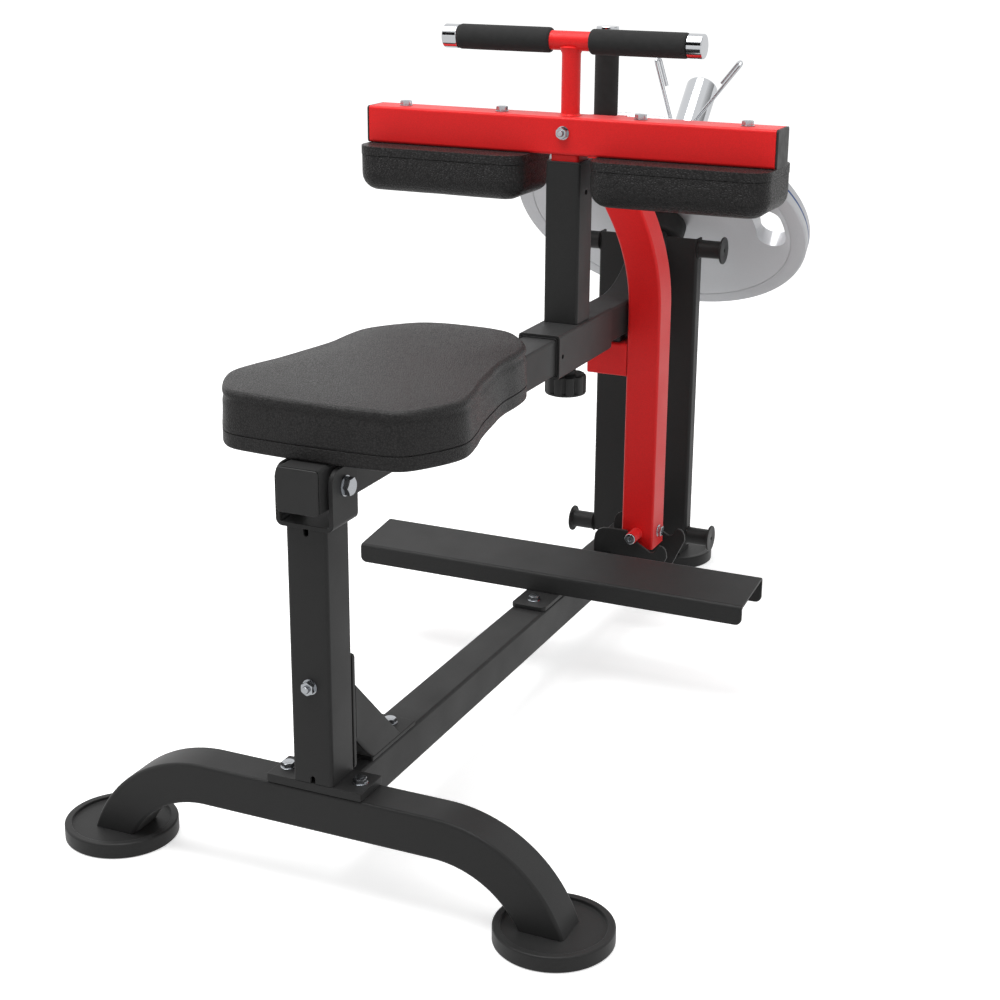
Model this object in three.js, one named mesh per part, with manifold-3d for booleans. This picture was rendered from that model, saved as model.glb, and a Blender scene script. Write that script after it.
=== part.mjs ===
// Seated calf raise machine, loaded with one weight plate on a rear horn.
// Millimetres, +Z up. The machine is drawn with X = 0 on its middle plane, Y = 0 at the lever's pivot
// and Z = 0 on the floor, and is then moved along Y so that the origin lies below the middle of its box.

import * as THREE from 'three';
import Module from 'manifold-3d';
import { mergeVertices } from 'three/addons/utils/BufferGeometryUtils.js';

const wasm = await Module();
wasm.setup();

// Clearances
const fitGap = 0.3;
const boltClearance = 0.5;
const cutOverrun = 6;

// Square tube of the frame, lever, upright and catch
const tubeSize = 50;
const tubeWall = 3;
const tubeCorner = 4;

// Fasteners
const boltRadius = 5;
const boltAcrossFlats = 16;
const boltHeadHeight = 6.5;
const boltFlangeRadius = 10.5;
const boltFlangeThickness = 1.6;
const boltTailLength = 26;
const boltThreadShow = 3.5;
const nutHeight = 8.5;

// Floor discs and front cross foot
const discRadius = 67.5;
const discHeight = 19;
const discRimWidth = 9;
const discRecessDepth = 4;
const discEdge = 2;
const discOffset = 6.5;
const beamAxisHeight = 102;
const footBendRadius = 140;
const archStraightLength = 292;

// Floor beam
const baseStraightEnd = 1055;

// Front upright
const uprightPlateWidth = 120;
const uprightPlateThickness = 10;
const uprightBoltSpacing = 92;
const uprightLength = 300;
const drainSlotWidth = 6;
const drainSlotHeight = 9;
const uprightBoltHeight = 255;

// Brace between the upright and the floor beam
const braceMountLength = 140;
const braceMountThickness = 6;
const braceRise = 108;
const toePlateThickness = 5;
const toePlateFront = 68;
const toePlateLength = 110;
const toeBoltInset = 19;

// Pivot bracket, bolt and bushes
const bracketWidth = 70;
const bracketDepth = 55;
const bracketSheet = 5;
const bracketHeight = 67;
const bracketBend = 8;
const bracketCrown = 16;
const pivotRise = 45.5;
const pivotRadius = 8;
const pivotHeadAcross = 22;
const pivotHeadHeight = 8;
const bushFlangeRadius = 16;
const bushWall = 3;
const bushNeckLength = 12;

// Lever, horn and its collar
const leverNose = 38;
const leverStraightEnd = 885;
const leverBendRadius = 190;
const leverTurn = THREE.MathUtils.degToRad(45.5);
const leverTailLength = 38;
const capThickness = 3;
const plugDepth = 12;
const plugWall = 2.5;
const collarRadius = 43;
const collarLength = 36;
const collarEdge = 5;
const hornRadius = 25;
const hornWall = 5;
const hornReach = 261;
const hornChamfer = 4;

// Seat
const seatWidth = 290;
const seatLength = 392;
const seatOverhang = 15;
const seatBoardThickness = 17;
const seatBoardInset = 0.5;
const seatHeight = 68;
const seatCrown = 5;
const seatTopRoll = 14;
const seatSeamDepth = 1.5;
const seatDrawIn = 3;

// Toe plate of the feet
const footBracketLength = 200;
const footBracketStart = 571;
const footBracketThickness = 6;
const footBracketCorner = 8;
const footBracketBoltInset = 24;
const footPlateWidth = 584;
const footPlateDepth = 98;
const footPlateHeight = 38;
const footPlateSheet = 4.5;
const footPlateBend = 6;
const footPlateTilt = THREE.MathUtils.degToRad(6.6);
const footPlateCorner = 9;
const footPlateStart = 625;

// Rear panel and its pegs
const panelWidth = 159;
const panelDepth = 22;
const panelSheet = 3.5;
const panelBend = 5;
const panelFront = 1021;
const panelBottom = 90;
const panelTop = 578;
const panelNotchHalfWidth = 30;
const panelNotchDepth = 83;
const pegRadius = 13.5;
const pegLength = 36;
const pegFlangeRadius = 20.5;
const pegFlangeThickness = 3;
const pegHoleRadius = 3;
const pegHoleDepth = 10;
const pegUpperHeight = 562;
const pegLowerHeight = 100.5;

// Safety catch: cradle plates, arm, stub and handle
const catchPinX = 57.5;
const catchPinHeight = 158.4;
const catchPlateSheet = 5;
const catchPlateLeft = 4;
const catchPlateReach = 112;
const catchPlateTop = 167;
const catchPlateShoulder = 20;
const catchCradleGap = 0.5;
const catchMouthAngle = THREE.MathUtils.degToRad(145);
const catchRampAngle = THREE.MathUtils.degToRad(310);
const catchValleyX = 87;
const catchValleyHeight = 137.7;
const catchValleyRadius = 7;
const catchValleyStart = THREE.MathUtils.degToRad(235);
const catchValleyEnd = THREE.MathUtils.degToRad(345);
const catchToothX = 100;
const catchToothHeight = 150.6;
const catchHeelHeight = 133;
const catchHeelInset = 26;
const catchArmY = 877;
const catchPlateOffset = 42;
const catchArmBottom = 135;
const catchBendStart = 500;
const catchLowerBend = 300;
const catchUpperBend = 180;
const catchBendAngle = THREE.MathUtils.degToRad(28.7);
const catchOffset = 76.5;
const catchTopRun = 4;
const catchSleeveRadius = 8.7;
const catchSleeveLength = 28;
const catchPinRadius = 6.5;
const catchPinHeadRadius = 8.2;
const catchPinHeadLength = 3;
const stubReach = 29;
const bumperThickness = 9.4;
const bumperInset = 4;
const postFootThickness = 4;
const postGripLength = 114;
const postCapLength = 11;
const postGripRadius = 17;

// Carriage on the lever
const sleeveSize = 60;
const sleeveWall = 3;
const sleeveLength = 195;
const sleeveStart = 600;
const linerLip = 2;
const setHoleRadius = 3.5;
const kneeUprightY = 697;
const kneeUprightLength = 218;
const kneeHoleDrop = 40;
const bossRadius = 13;
const bossHeight = 10;
const knobRadius = 29;
const knobLobeDepth = 1.6;
const knobLobes = 10;
const knobHeight = 29;
const knobNeckRadius = 14;
const knobNeckHeight = 5.5;
const knobEdge = 4;
const knobScrewRadius = 6;

// Knee head
const innerTubeSize = 40;
const innerTubeWall = 2.5;
const innerTubeLength = 200;
const innerTubeShow = 10.6;
const guideLength = 70;
const guideLip = 2;
const kneeBeamLength = 589;
const kneeBeamY = 696.5;
const beamBoltHeight = 29.5;
const padBoardThickness = 12;
const padBoardLength = 246;
const padBoardGap = 94;
const padBoardFront = 630;
const padBoardDepth = 133;
const padBoardCorner = 28;
const padBoltInner = 100;
const padBoltOuter = 246;
const padInset = 0.5;
const padHeight = 50;
const padRoll = 26;
const padCrown = 3;
const padDrawIn = 2;

// T handle with its grips
const stemHeight = 84;
const handleTubeRadius = 12.7;
const handleTubeWall = 2;
const handleWidth = 368;
const handleBareWidth = 56;
const gripRadius = 16.6;
const gripEdge = 1.5;
const handleCapRadius = 16;
const handleCapLength = 21;
const handleCapEdge = 1.5;

// Weight plate and spring collar
const weightRadius = 230;
const weightThickness = 26;
const weightRimWidth = 24;
const weightGrooveWidth = 8;
const weightRecess = 4;
const weightRimRecess = 6;
const weightHubRadius = 62;
const weightBoreClearance = 0.8;
const weightEdge = 3;
const weightGripInner = 153;
const weightGripOuter = 198;
const weightGripAngle = THREE.MathUtils.degToRad(30);
const weightGrips = 3;
const springWireRadius = 3;
const springGap = 0.8;
const springPitchGap = 1;
const springCoils = 4;
const springSpread = THREE.MathUtils.degToRad(52);
const springRoll = THREE.MathUtils.degToRad(15);
const springPlace = 130;
const springLead = 60;
const springHandleLength = 112;
const springHandleTilt = THREE.MathUtils.degToRad(42);
const springLoopRadius = 5.5;
const springLoopReturn = 38;

// Facets
const cornerSteps = 1;
const rimSteps = 2;
const curveSteps = 4;
const bendStepAngle = THREE.MathUtils.degToRad(11.5);
const hexSides = 6;
const smallSides = 10;
const roundSides = 18;
const wideSides = 32;
const coilSteps = 24;
const wireSides = 6;
const lobeSteps = 4;
const quarterTurn = Math.PI / 2;

// Finishes
function finish(color, roughness, metalness) {
  return new THREE.MeshStandardMaterial({ color, roughness, metalness });
}

const blackPaint = finish(0x2b2b2b, 0.55, 0.1);
const redPaint = finish(0xd0282a, 0.5, 0.1);
const zincPlate = finish(0xb9bcc0, 0.3, 0.9);
const chromePlate = finish(0xdfe2e6, 0.12, 1);
const blackPlastic = finish(0x1e1e1f, 0.5, 0);
const blackRubber = finish(0x1a1a1a, 0.85, 0);
const blackVinyl = finish(0x262525, 0.6, 0);
const blackFoam = finish(0x232323, 0.95, 0);
const coveredBoard = finish(0x2b2a2a, 0.6, 0);
const greyPaint = finish(0xb4b6b9, 0.45, 0.3);

// Solids from closed meshes, and meshes from solids
function solidOf(geometry) {
  const bare = geometry.clone();
  bare.deleteAttribute('normal');
  bare.deleteAttribute('uv');
  const merged = mergeVertices(bare);
  const corners = merged.index.array;
  const kept = [];
  for (let first = 0; first < corners.length; first += 3) {
    const [a, b, c] = corners.slice(first, first + 3);
    if (a !== b && b !== c && c !== a) kept.push(a, b, c);
  }
  return new wasm.Manifold(new wasm.Mesh({
    numProp: 3,
    vertProperties: Float32Array.from(merged.attributes.position.array),
    triVerts: Uint32Array.from(kept),
  }));
}

function geometryOf(solid) {
  const mesh = solid.getMesh();
  const geometry = new THREE.BufferGeometry();
  geometry.setAttribute('position', new THREE.BufferAttribute(mesh.vertProperties, 3));
  geometry.setIndex(new THREE.BufferAttribute(mesh.triVerts, 1));
  geometry.computeVertexNormals();
  return geometry;
}

function addPart(group, name, solid, material, place = [0, 0, 0], turn = [0, 0, 0]) {
  const mesh = new THREE.Mesh(geometryOf(solid), material.clone());
  mesh.name = name;
  mesh.position.set(...place);
  mesh.rotation.set(...turn);
  group.add(mesh);
}

// Basic forms
function box(low, high) {
  const size = high.map((value, axis) => value - low[axis]);
  const centre = high.map((value, axis) => (value + low[axis]) / 2);
  return solidOf(new THREE.BoxGeometry(...size).translate(...centre));
}

function turned(profile, sides = roundSides) {
  const points = profile.map(([radius, height]) => new THREE.Vector2(radius, height));
  return new THREE.LatheGeometry(points, sides).rotateX(quarterTurn);
}

function rod(radius, length, sides = roundSides) {
  return turned([[0, 0], [radius, 0], [radius, length], [0, length]], sides);
}

function ring(inner, outer, length, sides = roundSides) {
  return turned([[inner, 0], [outer, 0], [outer, length], [inner, length], [inner, 0]], sides);
}

function roundedRectangle(width, height, corner) {
  const x = width / 2;
  const y = height / 2;
  const shape = new THREE.Shape();
  shape.absarc(x - corner, y - corner, corner, 0, quarterTurn);
  shape.absarc(corner - x, y - corner, corner, quarterTurn, Math.PI);
  shape.absarc(corner - x, corner - y, corner, Math.PI, 3 * quarterTurn);
  shape.absarc(x - corner, corner - y, corner, 3 * quarterTurn, 2 * Math.PI);
  return shape;
}

// A plate of the given outline, centred on its thickness, with its two rims rounded
function slab(shape, thickness, round = 0, curveSegments = cornerSteps) {
  const depth = thickness - 2 * round;
  return new THREE.ExtrudeGeometry(shape, {
    depth,
    steps: 1,
    curveSegments,
    bevelEnabled: round > 0,
    bevelThickness: round,
    bevelSize: round,
    bevelOffset: -round,
    bevelSegments: rimSteps,
  }).translate(0, 0, -depth / 2);
}

// An outline's plane is turned to YZ, its thickness along X, or to XZ, its thickness along Y
function acrossX(geometry) {
  const turn = new THREE.Matrix4().makeBasis(
    new THREE.Vector3(0, 1, 0), new THREE.Vector3(0, 0, 1), new THREE.Vector3(1, 0, 0));
  return geometry.applyMatrix4(turn);
}

function acrossY(geometry) {
  return geometry.rotateX(quarterTurn);
}

// Outline of a bar or sheet bent in one plane: it starts at a point, follows runs and turns,
// and is as wide as twice the half width
function bentOutline(start, heading, moves, half) {
  const spot = new THREE.Vector2(...start);
  let angle = heading;
  const left = [];
  const right = [];
  const mark = () => {
    const side = new THREE.Vector2(-Math.sin(angle), Math.cos(angle)).multiplyScalar(half);
    left.push(spot.clone().add(side));
    right.push(spot.clone().sub(side));
  };
  mark();
  for (const { run, turn, radius } of moves) {
    if (run !== undefined) {
      spot.add(new THREE.Vector2(Math.cos(angle), Math.sin(angle)).multiplyScalar(run));
      mark();
      continue;
    }
    const steps = Math.ceil(Math.abs(turn) / bendStepAngle);
    const reach = radius * Math.sign(turn);
    const centre = new THREE.Vector2(-Math.sin(angle), Math.cos(angle)).multiplyScalar(reach).add(spot);
    for (let step = 1; step <= steps; step += 1) {
      angle += turn / steps;
      spot.set(Math.sin(angle), -Math.cos(angle)).multiplyScalar(reach).add(centre);
      mark();
    }
  }
  return new THREE.Shape([...left, ...right.reverse()]);
}

function bentTube(across, start, heading, moves) {
  const half = tubeSize / 2;
  const outside = slab(bentOutline(start, heading, moves, half), tubeSize, tubeCorner);
  const inside = slab(bentOutline(start, heading, moves, half - tubeWall), tubeSize - 2 * tubeWall);
  return solidOf(across(outside)).subtract(solidOf(across(inside)));
}

function squareTube(size, wall, corner, length) {
  const shape = roundedRectangle(size, size, corner);
  shape.holes.push(roundedRectangle(size - 2 * wall, size - 2 * wall, corner / 2));
  return slab(shape, length).translate(0, 0, length / 2);
}

// Fasteners: the head's seat is at Z = 0, the head above it and the shank below
function hexRadius(acrossFlats) {
  return acrossFlats / Math.sqrt(3);
}

function boltHead() {
  return solidOf(rod(hexRadius(boltAcrossFlats), boltHeadHeight, hexSides))
    .add(solidOf(rod(boltFlangeRadius, boltFlangeThickness, smallSides)));
}

function flangeBolt(length) {
  const shank = rod(boltRadius, length + boltFlangeThickness, smallSides).translate(0, 0, -length);
  return boltHead().add(solidOf(shank));
}

function throughBolt(grip) {
  const nutDepth = boltFlangeThickness + nutHeight;
  const length = grip + 2 * nutDepth + boltThreadShow;
  const shank = rod(boltRadius, length, smallSides).translate(0, 0, -grip - nutDepth);
  const nut = rod(hexRadius(boltAcrossFlats), nutDepth, hexSides);
  const washer = rod(boltFlangeRadius, boltFlangeThickness, smallSides);
  const nutBelow = nut.clone().translate(0, 0, -grip - nutDepth);
  const washerBelow = washer.clone().translate(0, 0, -grip - boltFlangeThickness);
  return [nut, washer, nutBelow, washerBelow]
    .reduce((bolt, piece) => bolt.add(solidOf(piece)), solidOf(shank));
}

function boltHole(length, radius = boltRadius + boltClearance, sides = smallSides) {
  return rod(radius, length, sides).translate(0, 0, -length / 2);
}

// Heights that stack up from the floor
const half = tubeSize / 2;
const boltHoleRadius = boltRadius + boltClearance;
const discFloor = discHeight - discRecessDepth;
const beamTop = beamAxisHeight + half;
const bendCentreHeight = beamAxisHeight - footBendRadius;
const uprightPlateBottom = beamTop + fitGap;
const uprightPlateTop = uprightPlateBottom + uprightPlateThickness;
const uprightBottom = uprightPlateTop + fitGap;
const uprightTop = uprightBottom + uprightLength;
const bracketBottom = uprightTop + fitGap;
const leverAxisHeight = bracketBottom + pivotRise;
const leverTop = leverAxisHeight + half;
const leverBottom = leverAxisHeight - half;

// Where a foot bend meets its floor disc: the middle of the tube's cut end
function bendLanding() {
  const drop = discFloor + fitGap - bendCentreHeight;
  const outer = Math.sqrt((footBendRadius + half) ** 2 - drop ** 2);
  const inner = Math.sqrt((footBendRadius - half) ** 2 - drop ** 2);
  return (outer + inner) / 2;
}

const frontDiscX = archStraightLength / 2 + bendLanding() + discOffset;
const rearDiscY = baseStraightEnd + bendLanding() + discOffset;

// Frame
function floorDisc() {
  const flat = discRadius - discEdge;
  const recess = discRadius - discRimWidth;
  return solidOf(turned([
    [0, 0], [flat, 0], [discRadius, discEdge], [discRadius, discHeight - discEdge], [flat, discHeight],
    [recess, discHeight], [recess - discEdge / 2, discFloor], [0, discFloor],
  ], wideSides));
}

function archFoot() {
  const bend = { turn: -quarterTurn, radius: footBendRadius };
  const start = [-archStraightLength / 2 - footBendRadius, bendCentreHeight];
  const tube = bentTube(acrossY, start, quarterTurn, [bend, { run: archStraightLength }, bend]);
  const reach = frontDiscX + discRadius;
  const kept = box([-reach, -tubeSize, discFloor + fitGap], [reach, tubeSize, beamTop + cutOverrun]);
  const holes = [-1, 1].map((side) => solidOf(boltHole(tubeWall + cutOverrun)
    .translate(side * uprightBoltSpacing / 2, 0, beamTop)));
  return holes.reduce((solid, hole) => solid.subtract(hole), tube.intersect(kept));
}

function baseTube() {
  const start = half + fitGap;
  const moves = [
    { run: baseStraightEnd - start + cutOverrun },
    { turn: -quarterTurn, radius: footBendRadius },
  ];
  const tube = bentTube(acrossX, [start - cutOverrun, beamAxisHeight], 0, moves);
  const kept = box(
    [-tubeSize, start, discFloor + fitGap], [tubeSize, rearDiscY + discRadius, beamTop + cutOverrun]);
  const boltPlaces = [toeBoltY, footBracketStart + footBracketBoltInset,
    footBracketStart + footBracketLength - footBracketBoltInset];
  return boltPlaces.reduce((solid, y) => solid.subtract(
    solidOf(boltHole(tubeWall + cutOverrun).translate(0, y, beamTop))), tube.intersect(kept));
}

function uprightBasePlate() {
  const middle = (uprightPlateTop + uprightPlateBottom) / 2;
  const plate = solidOf(slab(roundedRectangle(uprightPlateWidth, tubeSize, tubeCorner),
    uprightPlateThickness).translate(0, 0, middle));
  return [-1, 1].reduce((solid, side) => solid.add(
    flangeBoltAt(side * uprightBoltSpacing / 2, 0, uprightPlateTop)), plate);
}

// A flange bolt that stands on a plate, one piece with it, its shank down through the plate
function flangeBoltAt(x, y, top) {
  const head = rod(hexRadius(boltAcrossFlats), boltHeadHeight, hexSides).translate(x, y, top);
  const flange = rod(boltFlangeRadius, boltFlangeThickness + fitGap, smallSides)
    .translate(x, y, top - fitGap);
  const shank = rod(boltRadius, boltTailLength, smallSides).translate(x, y, top - boltTailLength);
  return solidOf(head).add(solidOf(flange)).add(solidOf(shank));
}

function drainSlot(z, rise) {
  const slot = roundedRectangle(drainSlotWidth, 2 * drainSlotHeight, drainSlotWidth / 2);
  return solidOf(acrossY(slab(slot, tubeWall + cutOverrun)).translate(0, -half, z + rise));
}

function frontUpright() {
  const tube = solidOf(squareTube(tubeSize, tubeWall, tubeCorner, uprightLength)
    .translate(0, 0, uprightBottom));
  const bolt = boltHole(tubeSize + cutOverrun).rotateX(quarterTurn).translate(0, 0, uprightBoltHeight);
  const slots = [uprightBottom, uprightTop].map((height) => drainSlot(height, 0));
  return slots.reduce((solid, slot) => solid.subtract(slot), tube.subtract(solidOf(bolt)));
}

const mountPlateFront = half + fitGap;
const mountPlateRear = mountPlateFront + braceMountThickness;

function braceMountPlate() {
  const height = braceMountLength - fitGap;
  const plate = acrossY(slab(roundedRectangle(tubeSize, height, tubeCorner), braceMountThickness))
    .translate(0, (mountPlateFront + mountPlateRear) / 2, uprightBottom + height / 2);
  const bolt = boltHole(tubeSize + cutOverrun).rotateX(quarterTurn)
    .translate(0, mountPlateFront, uprightBoltHeight);
  return solidOf(plate).subtract(solidOf(bolt));
}

const toePlateBottom = beamTop + fitGap;
const toePlateTop = toePlateBottom + toePlateThickness;
const toeBoltY = toePlateFront + toePlateLength - toeBoltInset;

function braceToePlate() {
  const plate = slab(roundedRectangle(tubeSize, toePlateLength, tubeCorner), toePlateThickness)
    .translate(0, toePlateFront + toePlateLength / 2, toePlateBottom + toePlateThickness / 2);
  return solidOf(plate).add(flangeBoltAt(0, toeBoltY, toePlateTop));
}

function braceTube() {
  const heel = mountPlateRear + fitGap;
  const foot = toePlateTop + fitGap;
  const slant = tubeSize * Math.SQRT2;
  const bore = (tubeSize - 2 * tubeWall) * Math.SQRT2;
  const parallelogram = (width, spare) => {
    const middle = braceRise - slant / 2;
    return new THREE.Shape([
      new THREE.Vector2(heel - spare, foot + middle + width / 2 + spare),
      new THREE.Vector2(heel - spare, foot + middle - width / 2 + spare),
      new THREE.Vector2(heel + middle - width / 2 + spare, foot - spare),
      new THREE.Vector2(heel + middle + width / 2 + spare, foot - spare),
    ]);
  };
  const outside = solidOf(acrossX(slab(parallelogram(slant, cutOverrun), tubeSize, tubeCorner)));
  const inside = solidOf(acrossX(slab(parallelogram(bore, 2 * cutOverrun), tubeSize - 2 * tubeWall)));
  const kept = box([-tubeSize, heel, foot], [tubeSize, heel + 2 * braceRise, foot + 2 * braceRise]);
  return outside.subtract(inside).intersect(kept);
}

function pivotBracket() {
  const line = bracketSheet / 2;
  const bend = { turn: quarterTurn, radius: bracketBend - line };
  const side = { run: bracketHeight + cutOverrun - bracketBend };
  const floor = { run: bracketWidth - 2 * bracketBend };
  const start = [-bracketWidth / 2 + line, bracketBottom + bracketHeight + cutOverrun];
  const sheet = bentOutline(start, -quarterTurn, [side, bend, floor, bend, side], line);
  const channel = solidOf(acrossY(slab(sheet, bracketDepth)));
  const tall = 2 * bracketHeight;
  const sides = roundedRectangle(bracketDepth + 2 * fitGap, tall, bracketCrown);
  const crown = slab(sides, bracketWidth + cutOverrun, 0, curveSteps);
  const kept = solidOf(acrossX(crown).translate(0, 0, bracketBottom));
  const pivot = boltHole(bracketWidth + cutOverrun, pivotRadius + boltClearance, roundSides);
  pivot.rotateY(quarterTurn).translate(0, 0, leverAxisHeight);
  return channel.intersect(kept).subtract(solidOf(pivot));
}

function pivotBolt() {
  const washer = boltFlangeThickness;
  const seat = bracketWidth / 2 + fitGap;
  const shank = rod(pivotRadius, 2 * (seat + pivotHeadHeight), roundSides)
    .translate(0, 0, -seat - pivotHeadHeight);
  const washers = [seat, -seat - washer].map((z) => rod(bushFlangeRadius, washer).translate(0, 0, z));
  const heads = [seat, -seat - washer - pivotHeadHeight].map(
    (z) => rod(hexRadius(pivotHeadAcross), pivotHeadHeight + washer, hexSides).translate(0, 0, z));
  return [...washers, ...heads].reduce((bolt, piece) => bolt.add(solidOf(piece)), solidOf(shank));
}

// Flanged bush: its flange fills the gap between lever and bracket, its neck sits in the lever's wall
const bushFlange = bracketWidth / 2 - bracketSheet - half - 2 * fitGap;
const bushBore = pivotRadius + fitGap;

function pivotBush() {
  return solidOf(turned([
    [bushBore, -bushNeckLength], [bushBore + bushWall, -bushNeckLength], [bushBore + bushWall, 0],
    [bushFlangeRadius, 0], [bushFlangeRadius, bushFlange], [bushBore, bushFlange],
    [bushBore, -bushNeckLength],
  ]));
}

const footBracketBottom = beamTop + fitGap;
const footBracketTop = footBracketBottom + footBracketThickness;

function footBracketPlate() {
  const plate = slab(roundedRectangle(tubeSize + 2 * fitGap, footBracketLength, footBracketCorner),
    footBracketThickness, 0, curveSteps);
  plate.translate(0, footBracketStart + footBracketLength / 2, footBracketBottom + footBracketThickness / 2);
  const places = [footBracketStart + footBracketBoltInset,
    footBracketStart + footBracketLength - footBracketBoltInset];
  return places.reduce((solid, y) => solid.add(flangeBoltAt(0, y, footBracketTop)), solidOf(plate));
}

// Toe plate: its top falls towards the seat, so the front flange is the shorter one
function footPlate() {
  const line = footPlateSheet / 2;
  const bottom = footBracketTop + fitGap;
  const web = (footPlateDepth - 2 * footPlateBend) / Math.cos(footPlateTilt);
  const rearFlange = footPlateHeight - footPlateBend;
  const moves = [
    { run: rearFlange - web * Math.sin(footPlateTilt) },
    { turn: footPlateTilt - quarterTurn, radius: footPlateBend - line },
    { run: web },
    { turn: -footPlateTilt - quarterTurn, radius: footPlateBend - line },
    { run: rearFlange },
  ];
  const sheet = bentOutline([footPlateStart + line, bottom], quarterTurn, moves, line);
  const channel = solidOf(acrossX(slab(sheet, footPlateWidth)));
  const tall = 2 * footPlateHeight;
  const front = roundedRectangle(footPlateWidth, tall, footPlateCorner);
  const ends = acrossY(slab(front, footPlateDepth + cutOverrun, 0, curveSteps));
  ends.translate(0, footPlateStart + footPlateDepth / 2, bottom + tall / 2);
  return channel.intersect(solidOf(ends));
}

function rearPanel() {
  const line = panelSheet / 2;
  const bend = { turn: quarterTurn, radius: panelBend - line };
  const flange = { run: panelDepth - panelBend };
  const web = { run: panelWidth - 2 * panelBend };
  const start = [-panelWidth / 2 + line, panelFront + panelDepth];
  const sheet = bentOutline(start, -quarterTurn, [flange, bend, web, bend, flange], line);
  const channel = solidOf(slab(sheet, panelTop - panelBottom).translate(0, 0, (panelTop + panelBottom) / 2));
  const beamNotch = box(
    [-half - fitGap, panelFront - cutOverrun, panelBottom - cutOverrun],
    [half + fitGap, panelFront + panelDepth, beamTop + fitGap]);
  const leverNotch = box(
    [-panelNotchHalfWidth, panelFront - cutOverrun, panelTop - panelNotchDepth],
    [panelNotchHalfWidth, panelFront + panelDepth, panelTop + cutOverrun]);
  return channel.subtract(beamNotch).subtract(leverNotch);
}

function bandPeg() {
  const hole = rod(pegHoleRadius, pegHoleDepth + cutOverrun, smallSides)
    .translate(0, 0, pegLength - pegHoleDepth);
  return solidOf(turned([
    [0, 0], [pegRadius, 0], [pegRadius, pegLength], [pegFlangeRadius, pegLength],
    [pegFlangeRadius, pegLength + pegFlangeThickness], [0, pegLength + pegFlangeThickness],
  ], roundSides)).subtract(solidOf(hole));
}

// Cradle plate of the catch: it stands on the beam and hooks down its right side, holds the arm's sleeve
// in a round notch, and has a second notch with a tooth further out
function catchPlate(y) {
  const cradle = catchSleeveRadius + catchCradleGap;
  const left = -catchPlateLeft;
  const beamSide = half + fitGap;
  const top = new THREE.Shape();
  top.moveTo(left, beamTop + fitGap);
  top.lineTo(left, catchPlateTop - catchPlateShoulder);
  top.quadraticCurveTo(left, catchPlateTop, catchPlateShoulder, catchPlateTop);
  top.lineTo(catchPinX - cradle - catchCradleGap, catchPlateTop);
  top.absarc(catchPinX, catchPinHeight, cradle, catchMouthAngle, catchRampAngle, false);
  top.absarc(catchValleyX, catchValleyHeight + catchValleyRadius, catchValleyRadius,
    catchValleyStart, catchValleyEnd, false);
  top.lineTo(catchToothX, catchToothHeight);
  top.quadraticCurveTo(catchPlateReach, catchToothHeight, catchPlateReach, catchHeelHeight);
  top.lineTo(catchPlateReach - catchHeelInset, beamTop - tubeSize);
  top.lineTo(beamSide, beamTop - tubeSize);
  top.lineTo(beamSide, beamTop + fitGap);
  return solidOf(acrossY(slab(top, catchPlateSheet, 0, curveSteps)).translate(0, y, 0));
}

// Lever
const leverPivot = [0, 0, leverAxisHeight];
const hornAxis = new THREE.Vector3(0, Math.cos(leverTurn), Math.sin(leverTurn));
const bendEnd = new THREE.Vector3(
  0,
  leverStraightEnd + leverBendRadius * Math.sin(leverTurn),
  leverAxisHeight + leverBendRadius * (1 - Math.cos(leverTurn)),
);
const tubeEnd = bendEnd.clone().addScaledVector(hornAxis, leverTailLength);
const hornTurn = [leverTurn - quarterTurn, 0, 0];

function alongHorn(distance) {
  return tubeEnd.clone().addScaledVector(hornAxis, distance).toArray();
}

function leverTube() {
  const tube = bentTube(acrossX, [-leverNose - cutOverrun, leverAxisHeight], 0, [
    { run: leverNose + leverStraightEnd + cutOverrun },
    { turn: leverTurn, radius: leverBendRadius },
    { run: leverTailLength + cutOverrun },
  ]);
  const frontTrim = box([-tubeSize, -leverNose - 2 * cutOverrun, leverBottom - cutOverrun],
    [tubeSize, -leverNose, leverTop + cutOverrun]);
  const rearTrim = new THREE.BoxGeometry(2 * tubeSize, 2 * tubeSize, 2 * cutOverrun)
    .translate(0, 0, cutOverrun).rotateX(hornTurn[0]).translate(...tubeEnd.toArray());
  const bushHole = boltHole(tubeSize + cutOverrun, bushBore + bushWall + fitGap, roundSides)
    .rotateY(quarterTurn).translate(...leverPivot);
  return tube.subtract(frontTrim).subtract(solidOf(rearTrim)).subtract(solidOf(bushHole));
}

// End cap of a square tube: a plate with a hollow plug behind it, the plug pointing down
function tubeCap() {
  const bore = tubeSize - 2 * tubeWall - 2 * fitGap;
  const plate = slab(roundedRectangle(tubeSize, tubeSize, tubeCorner), capThickness)
    .translate(0, 0, capThickness / 2);
  const plug = squareTube(bore, plugWall, tubeCorner / 2, plugDepth + capThickness / 2)
    .translate(0, 0, -plugDepth);
  return solidOf(plate).add(solidOf(plug));
}

function hornCollar() {
  const bore = hornRadius + fitGap;
  return solidOf(turned([
    [bore, 0], [collarRadius - collarEdge, 0], [collarRadius, collarEdge],
    [collarRadius, collarLength - collarEdge], [collarRadius - collarEdge, collarLength],
    [bore, collarLength], [bore, 0],
  ]));
}

function weightHorn() {
  const length = collarLength + hornReach;
  const bore = hornRadius - hornWall;
  return solidOf(turned([
    [bore, 0], [hornRadius, 0], [hornRadius, length - hornChamfer], [hornRadius - hornChamfer, length],
    [0, length], [0, length - hornWall], [bore, length - hornWall], [bore, 0],
  ]));
}

// Seat outline: half widths as shares of the seat's half width, lengths as shares of its length
const seatWidthShares = [0.46, 0.72, 0.88, 1, 0.965, 0.9, 0.837, 0.785, 0.78, 0.745, 0.605, 0.43, 0.265];
const seatLengthShares = [0, 0.018, 0.09, 0.2, 0.3, 0.39, 0.51, 0.63, 0.75, 0.83, 0.915, 0.98, 1];
const seatOutlinePoints = 54;

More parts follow.
